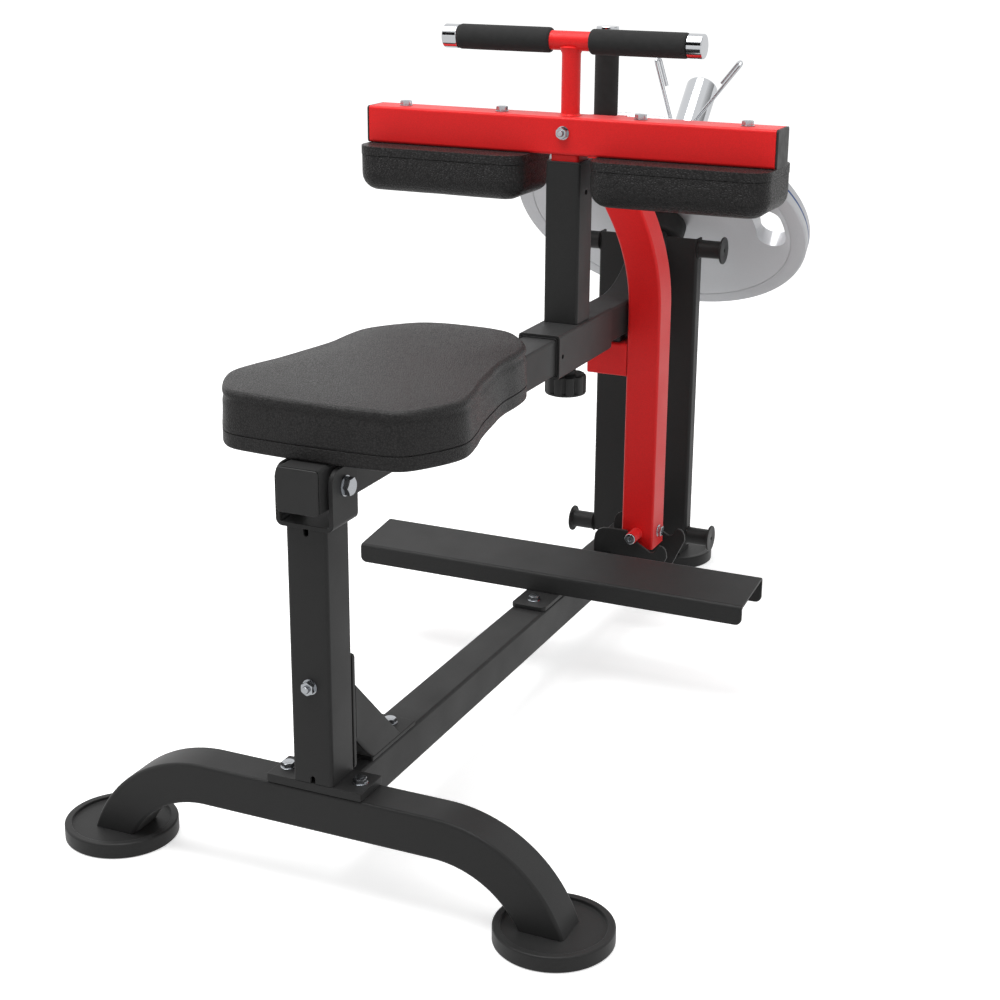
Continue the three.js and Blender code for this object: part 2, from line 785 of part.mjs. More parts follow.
function seatOutline() {
  const right = seatWidthShares.map((share, index) => new THREE.Vector3(
    share * seatWidth / 2, seatLengthShares[index] * seatLength - seatOverhang, 0));
  const left = right.map((point) => new THREE.Vector3(-point.x, point.y, 0)).reverse();
  const curve = new THREE.CatmullRomCurve3([...right, ...left], true, 'centripetal');
  return curve.getSpacedPoints(seatOutlinePoints).slice(0, seatOutlinePoints);
}

// An outline moved inwards by a distance, point by point, square to itself
function shrunkOutline(outline, distance) {
  return outline.map((point, index) => {
    const before = outline.at(index - 1);
    const after = outline[(index + 1) % outline.length];
    const along = after.clone().sub(before).normalize();
    return new THREE.Vector3(point.x - along.y * distance, point.y + along.x * distance, 0);
  });
}

// A cushion skinned over rings of one outline: each ring is drawn in by a distance and lies at a height,
// and the crown closes it with rings that shrink to the middle
function cushion(outline, rings, crownHeight, crownShares) {
  const count = outline.length;
  const middle = outline.reduce((sum, point) => sum.add(point), new THREE.Vector3()).divideScalar(count);
  const loops = rings.map(([inset, height]) => shrunkOutline(outline, inset).map(
    (point) => [point.x, point.y, height]));
  const [lastInset, lastHeight] = rings.at(-1);
  const rim = shrunkOutline(outline, lastInset);
  for (const share of crownShares) {
    const rise = crownHeight * (1 - share ** 2);
    loops.push(rim.map((point) => {
      const spot = middle.clone().lerp(point, share);
      return [spot.x, spot.y, lastHeight + rise];
    }));
  }
  const vertices = loops.flat(2);
  const faces = [];
  for (let loop = 0; loop + 1 < loops.length; loop += 1) {
    for (let index = 0; index < count; index += 1) {
      const here = loop * count + index;
      const next = loop * count + (index + 1) % count;
      faces.push(here, next, next + count, here, next + count, here + count);
    }
  }
  const bottom = vertices.length / 3;
  vertices.push(middle.x, middle.y, rings[0][1], middle.x, middle.y, lastHeight + crownHeight);
  for (let index = 0; index < count; index += 1) {
    const next = (index + 1) % count;
    const lastLoop = (loops.length - 1) * count;
    faces.push(bottom, next, index, bottom + 1, lastLoop + index, lastLoop + next);
  }
  const geometry = new THREE.BufferGeometry();
  geometry.setAttribute('position', new THREE.Float32BufferAttribute(vertices, 3));
  geometry.setIndex(faces);
  return geometry;
}

// Rings of a rolled edge: from the full outline inwards and up over a quarter turn
function rollRings(inset, height, radius, steps) {
  const rings = [];
  for (let step = 1; step <= steps; step += 1) {
    const angle = quarterTurn * step / steps;
    rings.push([inset + radius * (1 - Math.cos(angle)), height + radius * Math.sin(angle)]);
  }
  return rings;
}

const seatBottom = leverTop + fitGap;
const seatCushionBottom = seatBottom + seatBoardThickness + fitGap;
const crownRingShares = [0.8, 0.55, 0.28];
const rollSteps = 4;

function seatBoard() {
  const outline = shrunkOutline(seatOutline(), seatBoardInset)
    .map((point) => new THREE.Vector2(point.x, point.y));
  const board = slab(new THREE.Shape(outline), seatBoardThickness);
  return solidOf(board.translate(0, 0, seatBottom + seatBoardThickness / 2));
}

function seatCushion() {
  const shoulder = seatBottom + seatHeight - seatCrown - seatTopRoll;
  const belly = (seatCushionBottom + shoulder) / 2;
  return solidOf(cushion(seatOutline(), [
    [seatSeamDepth, seatCushionBottom],
    [0, seatCushionBottom + seatSeamDepth],
    [seatDrawIn / 2, belly],
    [0, shoulder],
    ...rollRings(0, shoulder, seatTopRoll, rollSteps),
  ], seatCrown, crownRingShares));
}

// Carriage: sleeve, liner, knee upright with its guide, and the screw boss below
const sleeveHalf = sleeveSize / 2;
const sleeveTop = leverAxisHeight + sleeveHalf;
const sleeveBottom = leverAxisHeight - sleeveHalf;
const kneeUprightBottom = sleeveTop + fitGap;
const kneeUprightTop = kneeUprightBottom + kneeUprightLength;

function screwHole(radius) {
  const length = sleeveSize / 2 + cutOverrun;
  return solidOf(rod(radius, length, smallSides).translate(0, kneeUprightY, sleeveBottom - cutOverrun));
}

function carriageSleeve() {
  const tube = squareTube(sleeveSize, sleeveWall, tubeCorner, sleeveLength).rotateX(-quarterTurn)
    .translate(0, sleeveStart, leverAxisHeight);
  const setHole = boltHole(sleeveWall + cutOverrun, setHoleRadius).rotateY(quarterTurn)
    .translate(sleeveHalf, sleeveStart + 2 * cutOverrun, leverAxisHeight);
  return solidOf(tube).subtract(solidOf(setHole)).subtract(screwHole(knobScrewRadius + boltClearance));
}

function sleeveLiner() {
  const bore = tubeSize + 2 * fitGap;
  const outside = sleeveSize - 2 * sleeveWall - 2 * fitGap;
  const length = sleeveLength + 2 * linerLip;
  const tube = squareTube(outside, (outside - bore) / 2, tubeCorner, length).rotateX(-quarterTurn)
    .translate(0, sleeveStart - linerLip, leverAxisHeight);
  return solidOf(tube).subtract(screwHole(knobScrewRadius + boltClearance));
}

function kneeUpright() {
  const tube = squareTube(tubeSize, tubeWall, tubeCorner, kneeUprightLength)
    .translate(0, kneeUprightY, kneeUprightBottom);
  const lockHole = boltHole(tubeWall + cutOverrun, setHoleRadius).rotateY(quarterTurn)
    .translate(half, kneeUprightY, kneeUprightTop - kneeHoleDrop);
  return solidOf(tube).subtract(solidOf(lockHole));
}

function heightGuide() {
  const bore = innerTubeSize + 2 * fitGap;
  const outside = tubeSize - 2 * tubeWall - 2 * fitGap;
  const tube = squareTube(outside, (outside - bore) / 2, tubeCorner / 2, guideLength);
  const lip = squareTube(tubeSize, (tubeSize - bore) / 2, tubeCorner, guideLip);
  const sleeve = solidOf(tube.translate(0, 0, guideLip - guideLength)).add(solidOf(lip));
  return sleeve;
}

function clampBoss() {
  return solidOf(ring(knobScrewRadius + boltClearance, bossRadius, bossHeight));
}

// Hand knob: lobed head, neck and screw; Z = 0 at the top of its neck
function clampKnob() {
  const lobed = new THREE.Shape();
  const steps = lobeSteps * knobLobes;
  for (let step = 0; step < steps; step += 1) {
    const angle = 2 * Math.PI * step / steps;
    const radius = knobRadius - knobLobeDepth + knobLobeDepth * Math.cos(knobLobes * angle);
    const point = [radius * Math.cos(angle), radius * Math.sin(angle)];
    if (step === 0) lobed.moveTo(...point);
    else lobed.lineTo(...point);
  }
  const head = slab(lobed, knobHeight, knobEdge).translate(0, 0, -knobNeckHeight - knobHeight / 2);
  const neck = rod(knobNeckRadius, knobNeckHeight + knobEdge, smallSides * 2)
    .translate(0, 0, -knobNeckHeight - knobEdge);
  const screwLength = leverBottom - sleeveBottom + bossHeight + knobEdge;
  const screw = rod(knobScrewRadius, screwLength, smallSides).translate(0, 0, -knobEdge);
  return solidOf(head).add(solidOf(neck)).add(solidOf(screw));
}

// Knee head
const innerTubeTop = kneeUprightTop + innerTubeShow;
const kneeBeamBottom = innerTubeTop + fitGap;
const kneeBeamTop = kneeBeamBottom + tubeSize;
const kneeBeamAxis = kneeBeamBottom + half;
const kneeTubeLength = kneeBeamLength - 2 * (capThickness + fitGap);
const padBoardTop = kneeBeamBottom - fitGap;
const padBoardBottom = padBoardTop - padBoardThickness;
const padMiddleX = (padBoardGap + padBoardLength) / 2;
const padMiddleY = padBoardFront + padBoardDepth / 2;

function innerTube() {
  const tube = squareTube(innerTubeSize, innerTubeWall, tubeCorner, innerTubeLength);
  return solidOf(tube.translate(0, kneeUprightY, innerTubeTop - innerTubeLength));
}

function kneeBeam() {
  const tube = squareTube(tubeSize, tubeWall, tubeCorner, kneeTubeLength).rotateY(quarterTurn)
    .translate(-kneeTubeLength / 2, kneeBeamY, kneeBeamAxis);
  const frontHole = boltHole(tubeSize + cutOverrun).rotateX(quarterTurn)
    .translate(0, kneeBeamY, kneeBeamBottom + beamBoltHeight);
  const padHoles = [-padBoltOuter, -padBoltInner, padBoltInner, padBoltOuter].map(
    (x) => boltHole(tubeSize + cutOverrun).translate(x, kneeBeamY, kneeBeamAxis));
  return [frontHole, ...padHoles].reduce((solid, hole) => solid.subtract(solidOf(hole)), solidOf(tube));
}

// Pad board with the two bolts that hold it under the beam
function padBoard() {
  const outline = roundedRectangle(padBoardLength, padBoardDepth, padBoardCorner);
  const board = slab(outline, padBoardThickness, 0, curveSteps);
  const placed = solidOf(board.translate(0, 0, padBoardBottom + padBoardThickness / 2));
  const headSeat = kneeBeamTop + fitGap;
  const shankLength = headSeat - padBoardBottom - padBoardThickness / 2;
  const bolts = [padBoltInner, padBoltOuter].map((x) => {
    const head = rod(hexRadius(boltAcrossFlats), boltHeadHeight, hexSides).translate(0, 0, headSeat);
    const shank = rod(boltRadius, shankLength + boltFlangeThickness, smallSides)
      .translate(0, 0, headSeat - shankLength);
    return [head, shank].map((piece) => solidOf(piece.translate(x - padMiddleX, kneeBeamY - padMiddleY, 0)));
  });
  return bolts.flat().reduce((solid, piece) => solid.add(piece), placed);
}

function padOutline() {
  const shape = roundedRectangle(padBoardLength - 2 * padInset, padBoardDepth - 2 * padInset, padBoardCorner);
  return shape.extractPoints(padOutlineSteps).shape.map((point) => new THREE.Vector3(point.x, point.y, 0));
}

const padOutlineSteps = 5;
const padCrownShares = [0.75, 0.45];

// Knee pad drawn upside down: its board side is at Z = 0 and its crown above
function kneePad() {
  const shoulder = padHeight - padRoll - padCrown;
  return solidOf(cushion(padOutline(), [
    [0, 0],
    [padDrawIn, shoulder / 3],
    [padDrawIn / 2, 2 * shoulder / 3],
    [0, shoulder],
    ...rollRings(0, shoulder, padRoll, rollSteps),
  ], padCrown, padCrownShares));
}

// T handle: a round stem welded to a round cross tube
const stemBottom = kneeBeamTop + fitGap;
const handleAxis = stemBottom + stemHeight + handleTubeRadius;

function handleTee() {
  const bore = handleTubeRadius - handleTubeWall;
  const length = handleWidth - 2 * capThickness;
  const stem = rod(handleTubeRadius, stemHeight + handleTubeRadius).translate(0, 0, stemBottom);
  const cross = rod(handleTubeRadius, length).rotateY(quarterTurn).translate(-length / 2, 0, handleAxis);
  const crossBore = rod(bore, length + 2 * cutOverrun).rotateY(quarterTurn)
    .translate(-length / 2 - cutOverrun, 0, handleAxis);
  const stemBore = rod(bore, stemHeight + cutOverrun).translate(0, 0, stemBottom - cutOverrun);
  return solidOf(stem).add(solidOf(cross)).subtract(solidOf(crossBore)).subtract(solidOf(stemBore));
}

function foamGrip(length, radius) {
  const bore = handleTubeRadius + fitGap;
  return solidOf(turned([
    [bore, 0], [radius - gripEdge, 0], [radius, gripEdge], [radius, length - gripEdge],
    [radius - gripEdge, length], [bore, length], [bore, 0],
  ]));
}

// Round cap over the end of a round tube: open below, closed above
function roundCap(length) {
  const bore = handleTubeRadius + fitGap;
  const deep = length - capThickness + fitGap;
  return solidOf(turned([
    [bore, 0], [handleCapRadius, 0], [handleCapRadius, length - handleCapEdge],
    [handleCapRadius - handleCapEdge, length], [0, length], [0, deep], [bore, deep], [bore, 0],
  ]));
}

// Safety catch
const catchRise = catchLowerBend * Math.sin(catchBendAngle);
const catchBow = (catchLowerBend + catchUpperBend) * (1 - Math.cos(catchBendAngle));
const catchSlantRun = (catchOffset - catchBow) / Math.sin(catchBendAngle);
const catchArmTop = catchBendStart + catchRise + catchSlantRun * Math.cos(catchBendAngle)
  + catchUpperBend * Math.sin(catchBendAngle) + catchTopRun;
const catchTopX = catchPinX - catchOffset;

function catchSleeve() {
  const length = tubeSize + 2 * catchSleeveLength;
  return rod(catchSleeveRadius, length).rotateX(-quarterTurn)
    .translate(catchPinX, catchArmY - length / 2, catchPinHeight);
}

function catchArm() {
  const tube = bentTube(acrossY, [catchPinX, catchArmBottom - cutOverrun], quarterTurn, [
    { run: catchBendStart - catchArmBottom + cutOverrun },
    { turn: catchBendAngle, radius: catchLowerBend },
    { run: catchSlantRun },
    { turn: -catchBendAngle, radius: catchUpperBend },
    { run: catchTopRun + cutOverrun },
  ]).translate(0, catchArmY, 0);
  const reach = catchOffset + tubeSize;
  const kept = box([catchPinX - reach, catchArmY - tubeSize, catchArmBottom],
    [catchPinX + tubeSize, catchArmY + tubeSize, catchArmTop]);
  const pinBore = boltHole(2 * tubeSize + 2 * catchSleeveLength, catchPinRadius + boltClearance)
    .rotateX(quarterTurn).translate(catchPinX, catchArmY, catchPinHeight);
  const boltBore = boltHole(2 * half, boltHoleRadius).rotateY(quarterTurn)
    .translate(catchPinX + half, catchArmY, catchPinHeight);
  const arm = tube.intersect(kept).add(solidOf(catchSleeve()));
  return arm.subtract(solidOf(pinBore)).subtract(solidOf(boltBore));
}

// Cross pin with its two heads, and the set bolt that holds it from the arm's right face
function catchPin() {
  const seat = tubeSize / 2 + catchSleeveLength + fitGap;
  const pin = rod(catchPinRadius, 2 * seat, smallSides).translate(0, 0, -seat);
  const heads = [seat, -seat - catchPinHeadLength].map(
    (z) => rod(catchPinHeadRadius, catchPinHeadLength).translate(0, 0, z));
  const bolt = flangeBolt(half + fitGap);
  const body = heads.reduce((solid, head) => solid.add(solidOf(head)), solidOf(pin));
  return body.add(solidOf(geometryOf(bolt).translate(0, 0, half + fitGap).rotateY(quarterTurn)));
}

const stubTop = leverBottom - bumperThickness - 2 * fitGap;

function catchStub() {
  const length = stubReach + catchPinX - half - fitGap;
  const tube = squareTube(tubeSize, tubeWall, tubeCorner, length).rotateY(quarterTurn);
  return solidOf(tube.translate(-stubReach, catchArmY, stubTop - half));
}

function stubBumper() {
  const side = tubeSize - 2 * bumperInset;
  return solidOf(slab(roundedRectangle(side, side, tubeCorner), bumperThickness));
}

function catchPost() {
  const length = postGripLength + postCapLength - capThickness;
  const foot = slab(roundedRectangle(tubeSize, tubeSize, tubeCorner), postFootThickness)
    .translate(0, 0, postFootThickness / 2);
  const post = rod(handleTubeRadius, length + postFootThickness);
  return solidOf(foot).add(solidOf(post));
}

// Weight plate: rim, recessed web with a groove ring, hub and grip holes; Z = 0 on its front face
function weightPlate() {
  const bore = hornRadius + weightBoreClearance;
  const rim = weightRadius - weightRimWidth;
  const groove = rim - weightGrooveWidth;
  const back = weightThickness;
  const web = weightRecess;
  const deep = weightRimRecess;
  const disc = turned([
    [bore, 0], [weightHubRadius, 0], [weightHubRadius + web, web], [groove, web],
    [rim - web, deep], [rim, 0], [weightRadius - weightEdge, 0], [weightRadius, weightEdge],
    [weightRadius, back - weightEdge], [weightRadius - weightEdge, back], [rim, back],
    [rim - web, back - deep], [groove, back - web], [weightHubRadius + web, back - web],
    [weightHubRadius, back], [bore, back], [bore, 0],
  ], wideSides);
  const grips = [];
  for (let index = 0; index < weightGrips; index += 1) {
    const turn = 2 * Math.PI * index / weightGrips;
    grips.push(solidOf(slab(gripHole(), weightThickness + cutOverrun, 0, curveSteps)
      .rotateZ(turn).translate(0, 0, weightThickness / 2)));
  }
  return grips.reduce((solid, grip) => solid.subtract(grip), solidOf(disc));
}

// Kidney shaped hole: two arcs about the plate's middle, closed by round ends
function gripHole() {
  const line = (weightGripInner + weightGripOuter) / 2;
  const round = (weightGripOuter - weightGripInner) / 2;
  const sweep = weightGripAngle - round / line * 2;
  const start = [line * Math.cos(-sweep / 2), line * Math.sin(-sweep / 2)];
  const end = [line * Math.cos(sweep / 2), line * Math.sin(sweep / 2)];
  const shape = new THREE.Shape();
  shape.absarc(0, 0, weightGripOuter, -sweep / 2, sweep / 2, false);
  shape.absarc(...end, round, sweep / 2, sweep / 2 + Math.PI, false);
  shape.absarc(0, 0, weightGripInner, sweep / 2, -sweep / 2, true);
  shape.absarc(...start, round, Math.PI - sweep / 2, 2 * Math.PI - sweep / 2, false);
  return shape;
}

// Spring collar: one wire, wound round the horn and led out at both ends to crossed handles with loops.
// Z runs along the horn and +Y is the side that faces up.
const springRadius = hornRadius + springGap + springWireRadius;
const springPitch = 2 * springWireRadius + springPitchGap;

function springLine() {
  const first = quarterTurn + springSpread;
  const sweep = 2 * Math.PI * springCoils - 2 * springSpread;
  const steps = Math.round(coilSteps * sweep / (2 * Math.PI));
  const height = springPitch * sweep / (2 * Math.PI);
  const coil = [];
  for (let step = 0; step <= steps; step += 1) {
    const angle = first + sweep * step / steps;
    const rise = height * (step / steps - 1 / 2);
    coil.push(new THREE.Vector3(springRadius * Math.cos(angle), springRadius * Math.sin(angle), rise));
  }
  const last = first + sweep;
  const leave = new THREE.Vector3(-Math.sin(last), Math.cos(last), 0);
  const enter = new THREE.Vector3(Math.sin(first), -Math.cos(first), 0);
  return [...handleLine(coil[0], enter).reverse(), ...coil, ...handleLine(coil.at(-1), leave)];
}

// One handle: it leaves the coil along a tangent, tilts along the horn, and folds back on itself
function handleLine(from, tangent) {
  const out = tangent.clone().multiplyScalar(Math.cos(springHandleTilt));
  out.z = Math.sin(springHandleTilt);
  const fold = tangent.clone().multiplyScalar(-Math.sin(springHandleTilt));
  fold.z = Math.cos(springHandleTilt);
  const points = leadShares.map((share) => from.clone().addScaledVector(tangent, springLead * share));
  const knee = points.at(-1);
  for (const share of handleShares) {
    points.push(knee.clone().addScaledVector(out, springHandleLength * share));
  }
  const tip = points.at(-1);
  for (const share of loopShares) {
    const angle = Math.PI * share;
    points.push(tip.clone().addScaledVector(out, springLoopRadius * Math.sin(angle))
      .addScaledVector(fold, springLoopRadius * (1 - Math.cos(angle))));
  }
  points.push(points.at(-1).clone().addScaledVector(out, -springLoopReturn));
  return points;
}

const leadShares = [0.3, 0.9];
const handleShares = [0.1, 0.5, 0.9, 1];
const loopShares = [0.2, 0.4, 0.6, 0.8, 1];

// A round wire along a line of points, its section carried from point to point without twist
function wire(line, radius, sides) {
  const vertices = [];
  const faces = [];
  let across = new THREE.Vector3(0, 0, 1);
  line.forEach((point, index) => {
    const before = line[Math.max(index - 1, 0)];
    const after = line[Math.min(index + 1, line.length - 1)];
    const ahead = after.clone().sub(before).normalize();
    across = across.clone().addScaledVector(ahead, -across.dot(ahead)).normalize();
    const other = new THREE.Vector3().crossVectors(ahead, across);
    for (let side = 0; side < sides; side += 1) {
      const angle = 2 * Math.PI * side / sides;
      const spot = point.clone().addScaledVector(across, radius * Math.cos(angle))
        .addScaledVector(other, radius * Math.sin(angle));
      vertices.push(...spot.toArray());
    }
  });
  for (let index = 0; index + 1 < line.length; index += 1) {
    for (let side = 0; side < sides; side += 1) {
      const here = index * sides + side;
      const next = index * sides + (side + 1) % sides;
      faces.push(here, next, next + sides, here, next + sides, here + sides);
    }
  }
  const lastRing = (line.length - 1) * sides;
  for (let side = 1; side + 1 < sides; side += 1) {
    faces.push(0, side + 1, side, lastRing, lastRing + side, lastRing + side + 1);
  }
  const geometry = new THREE.BufferGeometry();
  geometry.setAttribute('position', new THREE.Float32BufferAttribute(vertices, 3));
  geometry.setIndex(faces);
  return geometry;
}

// Least clear distance between parts of a wire that lie more than a few diameters apart along it
function leastWireGap(line, radius) {
  const spots = new THREE.CatmullRomCurve3(line, false, 'centripetal').getSpacedPoints(gapSamples);
  const spacing = spots[0].distanceTo(spots[1]);
  const skip = Math.ceil(gapSkipShare * radius / spacing);
  let least = Infinity;
  for (let a = 0; a < spots.length; a += 1) {
    for (let b = a + skip; b < spots.length; b += 1) {
      least = Math.min(least, spots[a].distanceTo(spots[b]));
    }
  }
  return least - 2 * radius;
}

const gapSamples = 700;
const gapSkipShare = 9;

function springCollar() {
  const line = springLine();
  console.log(`spring collar, least gap to itself: ${leastWireGap(line, springWireRadius).toFixed(2)} mm`);
  return solidOf(wire(line, springWireRadius, wireSides));
}

// Assembly
const machine = new THREE.Group();

function frameGroup() {
  const frame = new THREE.Group();
  addPart(frame, 'arch_foot', archFoot(), blackPaint);
  addPart(frame, 'foot_disc_left', floorDisc(), blackRubber, [-frontDiscX, 0, 0]);
  addPart(frame, 'foot_disc_right', floorDisc(), blackRubber, [frontDiscX, 0, 0]);
  addPart(frame, 'foot_disc_rear', floorDisc(), blackRubber, [0, rearDiscY, 0]);
  addPart(frame, 'base_tube', baseTube(), blackPaint);
  addPart(frame, 'upright_base_plate', uprightBasePlate(), blackPaint);
  addPart(frame, 'front_upright', frontUpright(), blackPaint);
  addPart(frame, 'upright_bolt', throughBolt(mountPlateRear + half + 2 * fitGap), zincPlate,
    [0, -half - fitGap, uprightBoltHeight], [quarterTurn, 0, 0]);
  addPart(frame, 'brace_mount_plate', braceMountPlate(), blackPaint);
  addPart(frame, 'brace_tube', braceTube(), blackPaint);
  addPart(frame, 'brace_toe_plate', braceToePlate(), blackPaint);
  addPart(frame, 'pivot_bracket', pivotBracket(), blackPaint);
  addPart(frame, 'pivot_bolt', pivotBolt(), zincPlate, leverPivot, [0, quarterTurn, 0]);
  addPart(frame, 'foot_bracket_plate', footBracketPlate(), blackPaint);
  addPart(frame, 'foot_plate', footPlate(), blackPaint);
  addPart(frame, 'rear_panel', rearPanel(), blackPaint);
  const pegX = panelWidth / 2 + fitGap;
  const pegY = panelFront + panelDepth / 2;
  addPart(frame, 'band_peg_upper_left', bandPeg(), blackPaint,
    [-pegX, pegY, pegUpperHeight], [0, -quarterTurn, 0]);
  addPart(frame, 'band_peg_upper_right', bandPeg(), blackPaint,
    [pegX, pegY, pegUpperHeight], [0, quarterTurn, 0]);
  addPart(frame, 'band_peg_lower_left', bandPeg(), blackPaint,
    [-pegX, pegY, pegLowerHeight], [0, -quarterTurn, 0]);
  addPart(frame, 'band_peg_lower_right', bandPeg(), blackPaint,
    [pegX, pegY, pegLowerHeight], [0, quarterTurn, 0]);
  addPart(frame, 'catch_plate_front', catchPlate(catchArmY - catchPlateOffset), blackPaint);
  addPart(frame, 'catch_plate_rear', catchPlate(catchArmY + catchPlateOffset), blackPaint);
  return frame;
}

function leverGroup() {
  const lever = new THREE.Group();
  addPart(lever, 'lever_tube', leverTube(), blackPaint);
  addPart(lever, 'lever_end_cap', tubeCap(), blackPlastic,
    [0, -leverNose - fitGap, leverAxisHeight], [quarterTurn, 0, 0]);
  const bushX = half + fitGap;
  addPart(lever, 'pivot_bush_left', pivotBush(), zincPlate,
    [-bushX, 0, leverAxisHeight], [0, -quarterTurn, 0]);
  addPart(lever, 'pivot_bush_right', pivotBush(), zincPlate,
    [bushX, 0, leverAxisHeight], [0, quarterTurn, 0]);
  addPart(lever, 'horn_collar', hornCollar(), blackPlastic, alongHorn(fitGap), hornTurn);
  addPart(lever, 'weight_horn', weightHorn(), chromePlate, alongHorn(fitGap), hornTurn);
  addPart(lever, 'seat_board', seatBoard(), coveredBoard);
  addPart(lever, 'seat_cushion', seatCushion(), blackVinyl);
  return lever;
}

function carriageGroup() {
  const carriage = new THREE.Group();
  addPart(carriage, 'carriage_sleeve', carriageSleeve(), blackPaint);
  addPart(carriage, 'sleeve_liner', sleeveLiner(), blackPlastic);
  addPart(carriage, 'knee_upright', kneeUpright(), blackPaint);
  addPart(carriage, 'height_guide', heightGuide(), blackPlastic, [0, kneeUprightY, kneeUprightTop + fitGap]);
  const bossBottom = sleeveBottom - fitGap - bossHeight;
  addPart(carriage, 'clamp_boss', clampBoss(), blackPaint, [0, kneeUprightY, bossBottom]);
  addPart(carriage, 'clamp_knob', clampKnob(), blackPlastic, [0, kneeUprightY, bossBottom - fitGap]);
  return carriage;
}

function kneeHeadGroup() {
  const head = new THREE.Group();
  addPart(head, 'inner_tube', innerTube(), redPaint);
  addPart(head, 'knee_beam', kneeBeam(), redPaint);
  const capX = kneeTubeLength / 2 + fitGap;
  addPart(head, 'beam_cap_left', tubeCap(), blackPlastic,
    [-capX, kneeBeamY, kneeBeamAxis], [0, -quarterTurn, 0]);
  addPart(head, 'beam_cap_right', tubeCap(), blackPlastic,
    [capX, kneeBeamY, kneeBeamAxis], [0, quarterTurn, 0]);
  addPart(head, 'beam_bolt', throughBolt(tubeSize + 2 * fitGap), zincPlate,
    [0, kneeBeamY - half - fitGap, kneeBeamBottom + beamBoltHeight], [quarterTurn, 0, 0]);
  addPart(head, 'pad_board_right', padBoard(), coveredBoard, [padMiddleX, padMiddleY, 0]);
  addPart(head, 'pad_board_left', mirroredInX(padBoard()), coveredBoard, [-padMiddleX, padMiddleY, 0]);
  const padTop = padBoardBottom - fitGap;
  addPart(head, 'knee_pad_right', kneePad(), blackVinyl, [padMiddleX, padMiddleY, padTop], [Math.PI, 0, 0]);
  addPart(head, 'knee_pad_left', kneePad(), blackVinyl, [-padMiddleX, padMiddleY, padTop], [Math.PI, 0, 0]);
  addPart(head, 'handle_tee', handleTee(), redPaint, [0, kneeUprightY, 0]);
  const gripLength = (handleWidth - handleBareWidth) / 2 - handleCapLength - fitGap;
  const gripX = handleBareWidth / 2;
  const capInner = handleWidth / 2 - handleCapLength;
  for (const [side, name] of [[-1, 'left'], [1, 'right']]) {
    const turn = [0, side * quarterTurn, 0];
    addPart(head, `grip_${name}`, foamGrip(gripLength, gripRadius), blackFoam,
      [side * gripX, kneeUprightY, handleAxis], turn);
    addPart(head, `handle_cap_${name}`, roundCap(handleCapLength), chromePlate,
      [side * capInner, kneeUprightY, handleAxis], turn);
  }
  return head;
}

function mirroredInX(solid) {
  const geometry = geometryOf(solid).scale(-1, 1, 1);
  const corners = geometry.index.array;
  for (let first = 0; first < corners.length; first += 3) {
    [corners[first], corners[first + 1]] = [corners[first + 1], corners[first]];
  }
  return solidOf(geometry);
}

function catchGroup() {
  const group = new THREE.Group();
  addPart(group, 'catch_arm', catchArm(), redPaint);
  addPart(group, 'catch_pin', catchPin(), zincPlate,
    [catchPinX, catchArmY, catchPinHeight], [quarterTurn, 0, 0]);
  addPart(group, 'catch_stub', catchStub(), redPaint);
  const bumperZ = stubTop + fitGap + bumperThickness / 2;
  addPart(group, 'stub_bumper', stubBumper(), blackRubber, [0, catchArmY, bumperZ]);
  const postBottom = catchArmTop + fitGap;
  const gripBottom = postBottom + postFootThickness + fitGap;
  addPart(group, 'catch_post', catchPost(), redPaint, [catchTopX, catchArmY, postBottom]);
  addPart(group, 'post_grip', foamGrip(postGripLength, postGripRadius), blackFoam,
    [catchTopX, catchArmY, gripBottom]);
  addPart(group, 'post_cap', roundCap(postCapLength), chromePlate,
    [catchTopX, catchArmY, gripBottom + postGripLength + fitGap]);
  return group;
}

function loadGroup() {
  const load = new THREE.Group();
  const plateFront = collarLength + 2 * fitGap;
  addPart(load, 'weight_plate', weightPlate(), greyPaint, alongHorn(plateFront), hornTurn);
  addPart(load, 'spring_collar', springCollar(), chromePlate, alongHorn(plateFront + springPlace),
    [hornTurn[0], 0, Math.PI + springRoll]);
  return load;
}

machine.add(frameGroup(), leverGroup(), carriageGroup(), kneeHeadGroup(), catchGroup(), loadGroup());
machine.updateMatrixWorld(true);
const bounds = new THREE.Box3().setFromObject(machine, true);
machine.position.y = -(bounds.min.y + bounds.max.y) / 2;
console.log(`pivot at y = ${machine.position.y.toFixed(3)} mm, z = ${leverAxisHeight.toFixed(3)} mm`);

export default machine;
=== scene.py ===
import math

import bmesh
import bpy
import numpy as np
from mathutils import Matrix, Vector
from mathutils.kdtree import KDTree


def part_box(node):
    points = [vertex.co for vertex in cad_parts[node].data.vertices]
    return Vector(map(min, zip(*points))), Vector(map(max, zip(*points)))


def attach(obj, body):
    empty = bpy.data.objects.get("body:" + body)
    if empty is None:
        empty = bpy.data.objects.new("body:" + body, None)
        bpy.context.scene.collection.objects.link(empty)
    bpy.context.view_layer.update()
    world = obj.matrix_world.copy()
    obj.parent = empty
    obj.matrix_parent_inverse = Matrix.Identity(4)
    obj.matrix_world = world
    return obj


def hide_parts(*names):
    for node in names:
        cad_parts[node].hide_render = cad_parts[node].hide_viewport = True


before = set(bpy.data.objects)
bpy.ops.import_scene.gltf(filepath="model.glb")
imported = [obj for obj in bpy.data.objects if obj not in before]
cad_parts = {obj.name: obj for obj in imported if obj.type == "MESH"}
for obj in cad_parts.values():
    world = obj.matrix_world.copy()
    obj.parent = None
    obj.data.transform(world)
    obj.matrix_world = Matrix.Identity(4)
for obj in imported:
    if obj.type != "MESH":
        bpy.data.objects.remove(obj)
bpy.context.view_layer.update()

scene = bpy.context.scene

